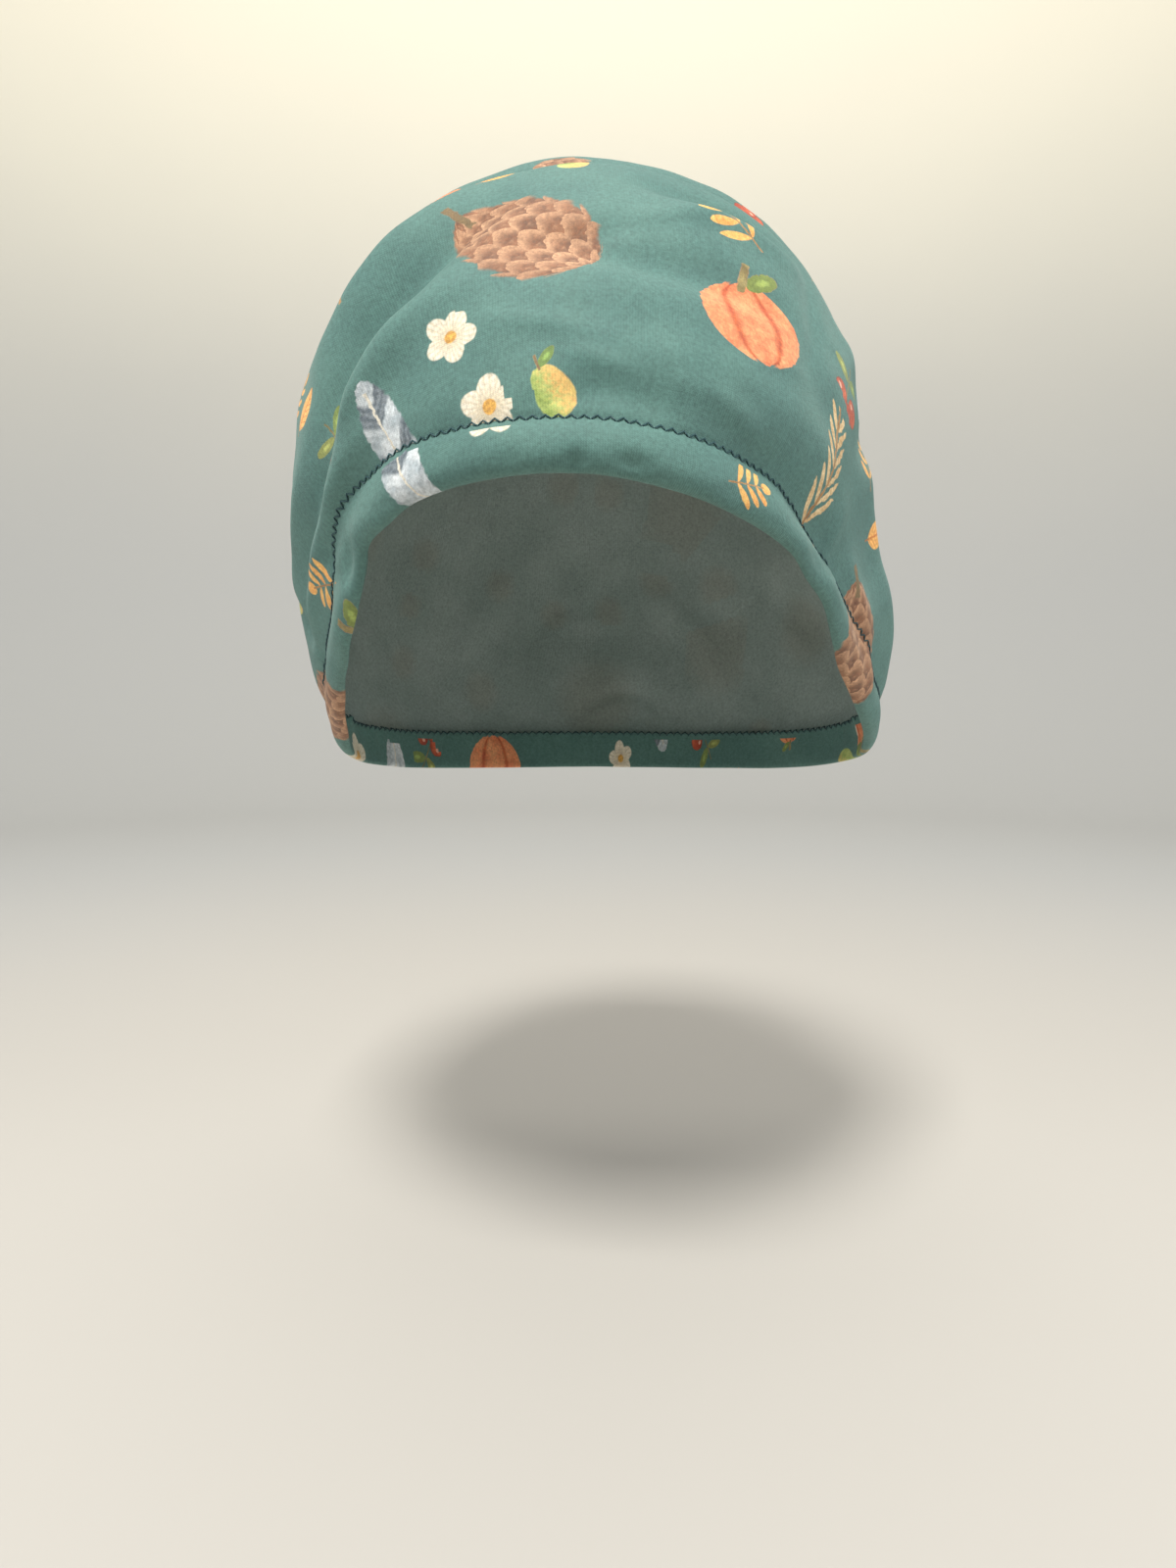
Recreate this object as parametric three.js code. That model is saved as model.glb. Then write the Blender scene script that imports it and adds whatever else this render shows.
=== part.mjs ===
import * as THREE from 'three';

// Sizes of the cap as it is worn, in millimetres
const CROWN_RISE = 97; // top of the crown above the brow hem's lower edge
const NAPE_DROP = 78; // nape hem's lower edge below the brow hem's lower edge
const HALF_WIDTH = 88.5; // fullest cloth, out to each side
const FRONT_REACH = 102; // fullest cloth, forward of the widest line
const BACK_REACH = 104; // fullest cloth, behind the widest line
const SETBACK = 8.5; // widest line behind the middle of the head opening
const LEAN = 3; // how far the crown leans to one side

// The rim, where the hem hugs the head
const RIM_HALF_WIDTH = 74.5;
const RIM_FRONT_REACH = 103;
const RIM_BACK_REACH = 76;
const RIM_SETBACK = 8;
const EAR_FLARE = 10; // how far an ear holds the rim out
const EAR_ANGLE = 97; // degrees from the front to the corner where the crown seam meets the hem
const BROW_EASE = 34; // height over which the cloth fills out above the brow
const SIDE_EASE = 60; // the same at the sides and the nape
const EASE_START = 4; // height above the edge that still hugs the head

// Cloth, hem and seams
const CLOTH = 1.2; // wall of knitted cloth
const HEM_WIDTH = 12;
const HEM_THICKNESS = 2.6; // cloth turned under, two layers and their loft
const PIECE_GAP = 0.3; // clearance between neighbouring pieces
const SEAM_FORWARD = 48; // crown seam in front of the top, along the cloth
const SEAM_DIP = 1.1; // how deep the crown seam pulls in
const SEAM_SPREAD = 4; // half width of that dip
const STITCH_DIP = 0.9; // how deep the hem's stitching pulls in
const STITCH_SPREAD = 4.5;
const FOLD_DEPTH = 3.4; // height of a full fold
const FOLD_SPREAD = 8; // half width of a full fold

// Sections from the top down to the nape edge. way is the share of the way down.
// height is a share of CROWN_RISE above the brow's edge and of NAPE_DROP below it. The other
// columns are shares of HALF_WIDTH, FRONT_REACH, BACK_REACH, SETBACK and LEAN.
const SECTIONS = [
  { way: 0.0, height: 1.0, width: 0.0, front: 0.0, back: 0.0, setback: 0.47, lean: -0.5 },
  { way: 0.13, height: 0.954, width: 0.3, front: 0.289, back: 0.288, setback: 0.61, lean: -0.45 },
  { way: 0.26, height: 0.823, width: 0.575, front: 0.554, back: 0.554, setback: 0.73, lean: -0.3 },
  { way: 0.38, height: 0.624, width: 0.768, front: 0.77, back: 0.769, setback: 0.84, lean: -0.4 },
  { way: 0.49, height: 0.381, width: 0.881, front: 0.912, back: 0.913, setback: 0.91, lean: -0.65 },
  { way: 0.59, height: 0.155, width: 0.925, front: 0.98, back: 0.981, setback: 0.94, lean: -0.65 },
  { way: 0.67, height: -0.064, width: 0.955, front: 1.0, back: 1.0, setback: 1.06, lean: -0.5 },
  { way: 0.76, height: -0.32, width: 1.0, front: 0.99, back: 0.962, setback: 1.18, lean: 0.27 },
  { way: 0.845, height: -0.577, width: 0.972, front: 0.971, back: 0.885, setback: 1.06, lean: 0.5 },
  { way: 0.95, height: -0.885, width: 0.887, front: 0.941, back: 0.769, setback: 0.94, lean: 1.0 },
  { way: 1.0, height: -1.04, width: 0.859, front: 0.922, back: 0.731, setback: 0.94, lean: 1.17 },
];

// Lower edge of the hem round the head. angle is in degrees from the front, drop a share of
// NAPE_DROP below the brow's edge and flare a share of EAR_FLARE out from the head.
const EDGE = [
  { angle: -180, drop: 1.0, flare: 0.3 },
  { angle: -150, drop: 0.994, flare: 0.35 },
  { angle: -120, drop: 0.96, flare: 0.45 },
  { angle: -97, drop: 0.885, flare: 0.45 },
  { angle: -86, drop: 0.77, flare: 0.2 },
  { angle: -74, drop: 0.61, flare: 0.0 },
  { angle: -62, drop: 0.468, flare: 0.0 },
  { angle: -53, drop: 0.308, flare: 0.0 },
  { angle: -47, drop: 0.167, flare: 0.0 },
  { angle: -40, drop: 0.109, flare: 0.0 },
  { angle: -31, drop: 0.051, flare: 0.0 },
  { angle: -18, drop: 0.013, flare: 0.0 },
  { angle: 0, drop: 0.0, flare: 0.0 },
  { angle: 17, drop: 0.041, flare: 0.0 },
  { angle: 31, drop: 0.103, flare: 0.0 },
  { angle: 40, drop: 0.16, flare: 0.0 },
  { angle: 50, drop: 0.263, flare: -0.05 },
  { angle: 59, drop: 0.385, flare: -0.12 },
  { angle: 68, drop: 0.513, flare: -0.1 },
  { angle: 78, drop: 0.654, flare: 0.25 },
  { angle: 90, drop: 0.82, flare: 0.9 },
  { angle: 97, drop: 0.885, flare: 0.95 },
  { angle: 120, drop: 0.96, flare: 0.6 },
  { angle: 150, drop: 0.994, flare: 0.35 },
];

// Folds on the flat chart of the cap, each from one place by way of another to a third. A place
// is [to the right, to the back] in shares of the chart's radius, spread a share of FOLD_SPREAD,
// and rise a share of FOLD_DEPTH, negative in a valley.
const FOLDS = [
  { from: [-0.06, -0.3], by: [-0.28, -0.36], to: [-0.56, -0.33], spread: 1.1, rise: -1.0 },
  { from: [-0.1, -0.4], by: [-0.3, -0.415], to: [-0.6, -0.35], spread: 0.9, rise: 0.75 },
  { from: [-0.12, -0.24], by: [-0.28, -0.27], to: [-0.46, -0.25], spread: 0.9, rise: 0.5 },
  { from: [0.04, -0.29], by: [0.16, -0.3], to: [0.3, -0.23], spread: 0.5, rise: -0.4 },
  { from: [0.05, -0.33], by: [0.18, -0.33], to: [0.34, -0.24], spread: 0.5, rise: 0.4 },
  { from: [-0.09, -0.37], by: [0.01, -0.45], to: [0.12, -0.34], spread: 0.6, rise: -0.4 },
  { from: [-0.2, -0.47], by: [0.05, -0.5], to: [0.3, -0.42], spread: 1.0, rise: 0.35 },
  { from: [-0.05, -0.53], by: [0.25, -0.58], to: [0.66, -0.26], spread: 0.9, rise: 0.45 },
  { from: [0.2, -0.58], by: [0.46, -0.5], to: [0.68, -0.3], spread: 0.7, rise: -0.45 },
  { from: [-0.86, -0.06], by: [-0.62, -0.4], to: [-0.28, -0.49], spread: 0.55, rise: 0.5 },
  { from: [-0.8, -0.08], by: [-0.6, -0.34], to: [-0.36, -0.44], spread: 0.55, rise: -0.45 },
  { from: [-0.76, -0.02], by: [-0.62, -0.24], to: [-0.5, -0.3], spread: 0.6, rise: 0.4 },
  { from: [0.62, -0.3], by: [0.76, -0.24], to: [0.86, -0.12], spread: 0.5, rise: 0.4 },
  { from: [0.86, 0.02], by: [0.72, -0.14], to: [0.5, -0.2], spread: 0.7, rise: 0.4 },
  { from: [0.5, -0.32], by: [0.57, -0.16], to: [0.55, 0.12], spread: 0.8, rise: -0.45 },
  { from: [0.4, -0.3], by: [0.47, -0.12], to: [0.46, 0.1], spread: 0.8, rise: 0.35 },
  { from: [0.3, 0.1], by: [0.4, 0.24], to: [0.36, 0.42], spread: 1.3, rise: -0.5 },
  { from: [-0.22, 0.2], by: [-0.36, 0.34], to: [-0.34, 0.56], spread: 1.2, rise: -0.55 },
  { from: [-0.86, 0.2], by: [-0.56, 0.42], to: [-0.2, 0.5], spread: 0.9, rise: 0.45 },
  { from: [0.86, 0.24], by: [0.6, 0.46], to: [0.26, 0.6], spread: 0.9, rise: 0.5 },
  { from: [0.5, 0.72], by: [0.3, 0.66], to: [0.1, 0.7], spread: 0.8, rise: -0.45 },
  { from: [-0.5, 0.7], by: [-0.3, 0.62], to: [-0.06, 0.64], spread: 0.8, rise: -0.4 },
];

// Section of the turned hem. up is a share of HEM_WIDTH, outer and inner are shares of
// HEM_THICKNESS out from the cap's skin.
const HEM_SECTION = [
  { up: 0.0, outer: -0.3, inner: -0.62 },
  { up: 0.05, outer: -0.06, inner: -0.9 },
  { up: 0.18, outer: 0.07, inner: -1.0 },
  { up: 0.45, outer: 0.11, inner: -1.03 },
  { up: 0.75, outer: 0.03, inner: -1.0 },
  { up: 1.0, outer: 0.0, inner: -0.96 },
];

// Fineness of the faceted walls
const ACROSS = 40; // from ear to ear, alike in panels and hems so that their edges run side by side
const UP = 20;
const FOLD_STEPS = 14; // points along a fold, the seam or the hem line for measuring distance
const LINE_STEPS = 72;
const HEIGHT_STEPS = 400;
const NUDGE = 0.001; // step on the chart for slopes
const ANGLE_NUDGE = 1; // degrees along the edge for its heading
const SEAM_NUDGE = 0.01; // share of the crown seam for its heading
const FOLD_END = 0.02; // share of a fold at which it is taken to start and end
const EVENNESS = 0.4; // 1 spaces a panel's rows evenly, 0 draws them closest to its ends
const SEAM_SHOULDER = 0.62; // share of the crown seam, each way, that borders the panels' tops

const cloth = { color: 0x7aa195, roughness: 0.85, metalness: 0 };
const hemCloth = { color: 0x6b968b, roughness: 0.85, metalness: 0 };

const radians = THREE.MathUtils.degToRad;
const clamp = THREE.MathUtils.clamp;

// Cubic through four rows' values, at a place between the middle two
function cubic(keys, values, at) {
  const [k0, k1, k2, k3] = keys;
  const [v0, v1, v2, v3] = values;
  const span = k2 - k1;
  const t = (at - k1) / span;
  const startSlope = ((v2 - v0) / (k2 - k0)) * span;
  const endSlope = ((v3 - v1) / (k3 - k1)) * span;
  const t2 = t * t;
  const t3 = t2 * t;
  return (2 * t3 - 3 * t2 + 1) * v1 + (t3 - 2 * t2 + t) * startSlope
    + (3 * t2 - 2 * t3) * v2 + (t3 - t2) * endSlope;
}

// A section's value a share of the way down. The curve runs evenly over the top: through it
// for heights, and mirrored for widths.
function section(way, valueOf, mirrored) {
  const last = SECTIONS.length - 1;
  const at = clamp(way, 0, SECTIONS[last].way);
  let row = 0;
  while (row < last - 1 && SECTIONS[row + 1].way <= at) row += 1;
  const keys = [];
  const values = [];
  for (let i = row - 1; i <= row + 2; i += 1) {
    if (i < 0) {
      keys.push(-SECTIONS[1].way);
      values.push((mirrored ? -1 : 1) * valueOf(SECTIONS[1]));
    } else if (i > last) {
      keys.push(2 * SECTIONS[last].way - SECTIONS[last - 1].way);
      values.push(2 * valueOf(SECTIONS[last]) - valueOf(SECTIONS[last - 1]));
    } else {
      keys.push(SECTIONS[i].way);
      values.push(valueOf(SECTIONS[i]));
    }
  }
  return cubic(keys, values, at);
}

const heightOf = (row) => row.height * (row.height > 0 ? CROWN_RISE : NAPE_DROP);
const height = (way) => section(way, heightOf, false);
const width = (way) => section(way, (row) => row.width * HALF_WIDTH, true);
const front = (way) => section(way, (row) => row.front * FRONT_REACH, true);
const back = (way) => section(way, (row) => row.back * BACK_REACH, true);
const setback = (way) => section(way, (row) => row.setback * SETBACK, false);
const lean = (way) => section(way, (row) => row.lean * LEAN, false);

// Share of the way down at which the sections reach a height
const heights = Array.from({ length: HEIGHT_STEPS + 1 }, (_, i) => height(i / HEIGHT_STEPS));
function wayAtHeight(z) {
  let low = 0;
  let high = HEIGHT_STEPS;
  while (high - low > 1) {
    const middle = (low + high) >> 1;
    if (heights[middle] > z) low = middle;
    else high = middle;
  }
  const share = clamp((heights[low] - z) / (heights[low] - heights[high]), 0, 1);
  return (low + share) / HEIGHT_STEPS;
}

// A column of the edge's table at an angle in degrees, running on round the head
function edgeValue(angle, valueOf) {
  const count = EDGE.length;
  const turn = ((angle + 180) % 360 + 360) % 360 - 180;
  let row = 0;
  while (row < count - 1 && EDGE[row + 1].angle <= turn) row += 1;
  const keys = [];
  const values = [];
  for (let i = row - 1; i <= row + 2; i += 1) {
    const wrapped = EDGE[(i + count) % count];
    keys.push(wrapped.angle + 360 * Math.floor(i / count));
    values.push(valueOf(wrapped));
  }
  return cubic(keys, values, turn);
}

const edgeHeight = (angle) => edgeValue(angle, (row) => -row.drop * NAPE_DROP);
const edgeFlare = (angle) => edgeValue(angle, (row) => row.flare * EAR_FLARE);

// The full dome at an angle from the front and a share of the way down
function dome(angle, way) {
  const a = radians(angle);
  const reach = Math.cos(a) > 0 ? front(way) : back(way);
  return new THREE.Vector3(
    lean(way) + width(way) * Math.sin(a),
    setback(way) - reach * Math.cos(a),
    height(way),
  );
}

// Where the rim sits against the head at an angle
function rim(angle, way) {
  const a = radians(angle);
  const flare = edgeFlare(angle);
  const reach = (Math.cos(a) > 0 ? RIM_FRONT_REACH : RIM_BACK_REACH) + flare;
  return new THREE.Vector3(
    lean(way) + (RIM_HALF_WIDTH + flare) * Math.sin(a),
    RIM_SETBACK - reach * Math.cos(a),
    height(way),
  );
}

// The cap's smooth skin over the chart, a flat map with the top in its middle, the front
// at negative back and one unit of radius down to the nape edge. The dome draws in to the
// rim near the edge.
function smoothSkin([right, rear]) {
  const way = Math.hypot(right, rear);
  const angle = THREE.MathUtils.radToDeg(Math.atan2(right, -rear));
  const point = dome(angle, way);
  const edge = edgeHeight(angle);
  const edgeWay = wayAtHeight(edge);
  const facing = Math.cos(radians(angle));
  const side = Math.sin(radians(angle)) ** 2;
  const ease = facing > 0 ? BROW_EASE + (SIDE_EASE - BROW_EASE) * side : SIDE_EASE;
  const rise = clamp((point.z - edge - EASE_START) / ease, 0, 1);
  const hold = (1 - rise) ** 2 * (1 + 2 * rise);
  const pull = rim(angle, edgeWay).sub(dome(angle, edgeWay));
  return point.addScaledVector(pull, hold);
}

// Slopes of a skin at a chart place, to the right and to the back
function slopes(skin, [right, rear]) {
  const here = skin([right, rear]);
  const toRight = skin([right + NUDGE, rear]).sub(here).divideScalar(NUDGE);
  const toRear = skin([right, rear + NUDGE]).sub(here).divideScalar(NUDGE);
  const out = new THREE.Vector3().crossVectors(toRight, toRear).normalize();
  return { here, toRight, toRear, out };
}

// A chart place moved along the cloth, square to a line on it. Seen from outside, a positive
// distance lies to the left of the line's direction.
function sideways(place, direction, distance) {
  const { toRight, toRear, out } = slopes(smoothSkin, place);
  const line = toRight.clone().multiplyScalar(direction[0]).addScaledVector(toRear, direction[1]);
  const across = new THREE.Vector3().crossVectors(out, line).setLength(Math.abs(distance));
  across.multiplyScalar(Math.sign(distance));
  const rr = toRight.dot(toRight);
  const rb = toRight.dot(toRear);
  const bb = toRear.dot(toRear);
  const ra = toRight.dot(across);
  const ba = toRear.dot(across);
  const area = rr * bb - rb * rb;
  return [place[0] + (ra * bb - ba * rb) / area, place[1] + (ba * rr - ra * rb) / area];
}

// Direction of a chart line at a place along it
function heading(line, at, step) {
  const before = line(at - step);
  const after = line(at + step);
  return [after[0] - before[0], after[1] - before[1]];
}

// The hem's lower edge on the chart, by its angle, and the line a distance up from it
function edgeLine(angle) {
  const way = wayAtHeight(edgeHeight(angle));
  return [way * Math.sin(radians(angle)), -way * Math.cos(radians(angle))];
}

function aboveEdge(angle, distance) {
  return sideways(edgeLine(angle), heading(edgeLine, angle, ANGLE_NUDGE), distance);
}

// The crown seam on the chart, from one ear corner at -1 over the top to the other at 1
const panelFoot = HEM_WIDTH + PIECE_GAP;
const corners = [aboveEdge(-EAR_ANGLE, panelFoot), aboveEdge(EAR_ANGLE, panelFoot)];
const topSlope = smoothSkin([0, -NUDGE]).distanceTo(smoothSkin([0, 0])) / NUDGE;
const seamFront = -SEAM_FORWARD / topSlope;
function seamLine(t) {
  const corner = t < 0 ? corners[0] : corners[1];
  return [corner[0] * Math.abs(t), seamFront * (1 - t * t) + corner[1] * t * t];
}

// Points in space along a chart line, for measuring how near the cloth lies to it
function trace(line, from, to, steps) {
  const points = [];
  for (let i = 0; i <= steps; i += 1) {
    points.push(smoothSkin(line(from + ((to - from) * i) / steps)));
  }
  return points;
}

// Distance from a point to a traced line, and the share of the line at which it is nearest
function nearest(point, points) {
  let best = Infinity;
  let share = 0;
  const piece = new THREE.Line3();
  const foot = new THREE.Vector3();
  for (let i = 0; i < points.length - 1; i += 1) {
    piece.set(points[i], points[i + 1]);
    const along = piece.closestPointToPointParameter(point, true);
    const distance = piece.at(along, foot).distanceTo(point);
    if (distance < best) {
      best = distance;
      share = (i + along) / (points.length - 1);
    }
  }
  return { distance: best, share };
}

function foldLine({ from, by, to }) {
  return (t) => [0, 1].map((axis) => (
    (1 - t) ** 2 * from[axis] + 2 * t * (1 - t) * by[axis] + t ** 2 * to[axis]
  ));
}

const seamTrace = trace(seamLine, -1, 1, LINE_STEPS);
const stitchTrace = trace((angle) => aboveEdge(angle, HEM_WIDTH), -180, 180, LINE_STEPS);
const foldTraces = FOLDS.map((fold) => ({
  points: trace(foldLine(fold), 0, 1, FOLD_STEPS),
  spread: fold.spread * FOLD_SPREAD,
  rise: fold.rise * FOLD_DEPTH,
}));

const bell = (distance, spread) => Math.exp(-((distance / spread) ** 2));

// How far the folds, the crown seam and the hem's stitching move the cloth out or in
function relief(point) {
  let total = -SEAM_DIP * bell(nearest(point, seamTrace).distance, SEAM_SPREAD);
  total -= STITCH_DIP * bell(nearest(point, stitchTrace).distance, STITCH_SPREAD);
  for (const { points, spread, rise } of foldTraces) {
    const { distance, share } = nearest(point, points);
    const along = clamp(share, FOLD_END, 1 - FOLD_END);
    total += rise * bell(distance, spread) * Math.sin(Math.PI * along);
  }
  return total;
}

// The cap's outer skin with its folds
function skin(place) {
  const { here, out } = slopes(smoothSkin, place);
  return here.clone().addScaledVector(out, relief(here));
}

// One closed wall between an outer and an inner sheet of points, with its four rims
function wall(name, finish, columns, rows, place) {
  const positions = [];
  const faces = [];
  const sheet = (columns + 1) * (rows + 1);
  const index = (i, j, inner) => (inner ? sheet : 0) + j * (columns + 1) + i;
  const inside = [];
  for (let j = 0; j <= rows; j += 1) {
    for (let i = 0; i <= columns; i += 1) {
      const { outer, inner } = place(i / columns, j / rows);
      positions.push(...outer.toArray());
      inside.push(...inner.toArray());
    }
  }
  positions.push(...inside);
  const quad = (a, b, c, d) => faces.push(a, b, c, a, c, d);
  for (let j = 0; j < rows; j += 1) {
    for (let i = 0; i < columns; i += 1) {
      quad(index(i, j), index(i + 1, j), index(i + 1, j + 1), index(i, j + 1));
      quad(index(i, j, true), index(i, j + 1, true), index(i + 1, j + 1, true), index(i + 1, j, true));
    }
  }
  for (let i = 0; i < columns; i += 1) {
    quad(index(i, 0, true), index(i + 1, 0, true), index(i + 1, 0), index(i, 0));
    quad(index(i, rows), index(i + 1, rows), index(i + 1, rows, true), index(i, rows, true));
  }
  for (let j = 0; j < rows; j += 1) {
    quad(index(0, j), index(0, j + 1), index(0, j + 1, true), index(0, j, true));
    quad(index(columns, j, true), index(columns, j + 1, true), index(columns, j + 1), index(columns, j));
  }
  const geometry = new THREE.BufferGeometry();
  geometry.setAttribute('position', new THREE.Float32BufferAttribute(positions, 3));
  geometry.setIndex(faces);
  geometry.computeVertexNormals();
  const mesh = new THREE.Mesh(geometry, new THREE.MeshStandardMaterial(finish));
  mesh.name = name;
  return mesh;
}

// Steps that lie closer together towards both ends of a panel
const gather = (t) => EVENNESS * t + (1 - EVENNESS) * t * t * (3 - 2 * t);

// A panel between a stretch of the hem line and the crown seam, spread over the chart
// between its foot, its top and its two sides
function panel(name, fromAngle, toAngle, direction) {
  const clear = -direction * (PIECE_GAP / 2);
  const seamAt = (t) => sideways(seamLine(t), heading(seamLine, t, SEAM_NUDGE), clear);
  const foot = (u) => aboveEdge(fromAngle + (toAngle - fromAngle) * u, panelFoot);
  const top = (u) => seamAt(direction * SEAM_SHOULDER * (2 * u - 1));
  const blend = (a, b, t) => [a[0] + (b[0] - a[0]) * t, a[1] + (b[1] - a[1]) * t];
  const side = (sign) => {
    const bottom = seamAt(sign * direction);
    const corner = foot(sign < 0 ? 0 : 1);
    return (v) => {
      const place = seamAt(sign * direction * (1 - (1 - SEAM_SHOULDER) * v));
      return [0, 1].map((axis) => place[axis] + (corner[axis] - bottom[axis]) * (1 - v));
    };
  };
  const near = side(-1);
  const far = side(1);
  return wall(name, cloth, ACROSS, UP, (u, t) => {
    const v = gather(t);
    const across = blend(near(v), far(v), u);
    const up = blend(foot(u), top(u), v);
    const flat = blend(blend(foot(0), foot(1), u), blend(top(0), top(1), u), v);
    const place = [0, 1].map((axis) => across[axis] + up[axis] - flat[axis]);
    const { here, out } = slopes(skin, place);
    return { outer: here, inner: here.clone().addScaledVector(out, -CLOTH) };
  });
}

// A turned hem along a stretch of the edge
function hem(name, fromAngle, toAngle) {
  const rows = HEM_SECTION.length - 1;
  return wall(name, hemCloth, ACROSS, rows, (u, t) => {
    const row = HEM_SECTION[Math.round(t * rows)];
    const angle = fromAngle + (toAngle - fromAngle) * u;
    const { here, out } = slopes(skin, aboveEdge(angle, row.up * HEM_WIDTH));
    return {
      outer: here.clone().addScaledVector(out, row.outer * HEM_THICKNESS),
      inner: here.clone().addScaledVector(out, row.inner * HEM_THICKNESS),
    };
  });
}

const cornerGap = THREE.MathUtils.radToDeg(PIECE_GAP / 2 / RIM_HALF_WIDTH);
const frontAngle = EAR_ANGLE - cornerGap;
const rearAngle = EAR_ANGLE + cornerGap;

const cap = new THREE.Group();
cap.add(panel('front_panel', -frontAngle, frontAngle, 1));
cap.add(panel('back_panel', rearAngle, 360 - rearAngle, -1));
cap.add(hem('brow_hem', -frontAngle, frontAngle));
cap.add(hem('nape_hem', rearAngle, 360 - rearAngle));

export default cap;
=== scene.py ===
import logging
import math
from collections.abc import Callable
from dataclasses import dataclass
from enum import IntEnum
from functools import cached_property
from typing import Any, NamedTuple

import bpy
import numpy as np
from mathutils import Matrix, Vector
from numpy.typing import NDArray


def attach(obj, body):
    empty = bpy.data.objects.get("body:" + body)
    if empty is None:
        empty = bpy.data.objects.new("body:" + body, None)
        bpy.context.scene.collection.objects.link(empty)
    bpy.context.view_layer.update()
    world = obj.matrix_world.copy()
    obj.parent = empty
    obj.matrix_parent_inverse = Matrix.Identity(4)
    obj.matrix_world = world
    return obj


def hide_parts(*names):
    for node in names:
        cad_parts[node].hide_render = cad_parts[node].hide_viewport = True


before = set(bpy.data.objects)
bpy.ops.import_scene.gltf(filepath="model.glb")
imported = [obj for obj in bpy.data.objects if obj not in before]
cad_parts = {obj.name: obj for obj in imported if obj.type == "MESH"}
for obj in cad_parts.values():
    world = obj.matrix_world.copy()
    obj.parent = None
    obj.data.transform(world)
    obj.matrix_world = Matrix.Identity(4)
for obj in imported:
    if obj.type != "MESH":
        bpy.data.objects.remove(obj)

Array = NDArray[Any]
Colour = tuple[float, float, float]
Place = tuple[float, float]
Point = tuple[float, float, float]

LOG = logging.getLogger("scrub_cap")
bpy.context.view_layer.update()  # bring the imported solids up to date before the cloth is built
MM = 0.001
STRETCH = 8  # pieces of a line that are measured together
PATTERN_COLUMNS = 60  # cells along the flat pattern
PATTERN_HEM_ROWS = 3  # its rows of cells over the hem
PATTERN_PANEL_ROWS = 32  # its rows of cells over the panel
PATTERN_START = 0.2  # metres to a unit of the chart, where the flattening starts
COLUMN_TAG, LEVEL_TAG = 97, 31  # factors that number each motif of each repeat apart
SHARP_EDGE = math.radians(50)


class Section(NamedTuple):
    """One level section of the cap, a share of the way down, in shares of the form's sizes."""

    way: float
    height: float
    width: float
    front: float
    back: float
    setback: float
    lean: float


class EdgeRow(NamedTuple):
    """The hem's lower edge at an angle from the front: its drop and its flare as shares."""

    angle: float
    drop: float
    flare: float


class Fold(NamedTuple):
    """One fold on the flat chart, from a place by way of another to a third."""

    start: Place
    by: Place
    end: Place
    spread: float
    rise: float


SECTIONS = (
    Section(0.0, 1.0, 0.0, 0.0, 0.0, 0.47, -0.5),
    Section(0.13, 0.954, 0.3, 0.289, 0.288, 0.61, -0.45),
    Section(0.26, 0.823, 0.575, 0.554, 0.554, 0.73, -0.3),
    Section(0.38, 0.624, 0.768, 0.77, 0.769, 0.84, -0.4),
    Section(0.49, 0.381, 0.881, 0.912, 0.913, 0.91, -0.65),
    Section(0.59, 0.155, 0.925, 0.98, 0.981, 0.94, -0.65),
    Section(0.67, -0.064, 0.955, 1.0, 1.0, 1.06, -0.5),
    Section(0.76, -0.32, 1.0, 0.99, 0.962, 1.18, 0.27),
    Section(0.845, -0.577, 0.972, 0.971, 0.885, 1.06, 0.5),
    Section(0.95, -0.885, 0.887, 0.941, 0.769, 0.94, 1.0),
    Section(1.0, -1.04, 0.859, 0.922, 0.731, 0.94, 1.17),
)

EDGE = (
    EdgeRow(-180, 1.0, 0.3),
    EdgeRow(-150, 0.994, 0.35),
    EdgeRow(-120, 0.96, 0.45),
    EdgeRow(-97, 0.885, 0.45),
    EdgeRow(-86, 0.77, 0.2),
    EdgeRow(-74, 0.61, 0.0),
    EdgeRow(-62, 0.468, 0.0),
    EdgeRow(-53, 0.308, 0.0),
    EdgeRow(-47, 0.167, 0.0),
    EdgeRow(-40, 0.109, 0.0),
    EdgeRow(-31, 0.051, 0.0),
    EdgeRow(-18, 0.013, 0.0),
    EdgeRow(0, 0.0, 0.0),
    EdgeRow(17, 0.041, 0.0),
    EdgeRow(31, 0.103, 0.0),
    EdgeRow(40, 0.16, 0.0),
    EdgeRow(50, 0.263, -0.05),
    EdgeRow(59, 0.385, -0.12),
    EdgeRow(68, 0.513, -0.1),
    EdgeRow(78, 0.654, 0.25),
    EdgeRow(90, 0.82, 0.9),
    EdgeRow(97, 0.885, 0.95),
    EdgeRow(120, 0.96, 0.6),
    EdgeRow(150, 0.994, 0.35),
)

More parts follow.
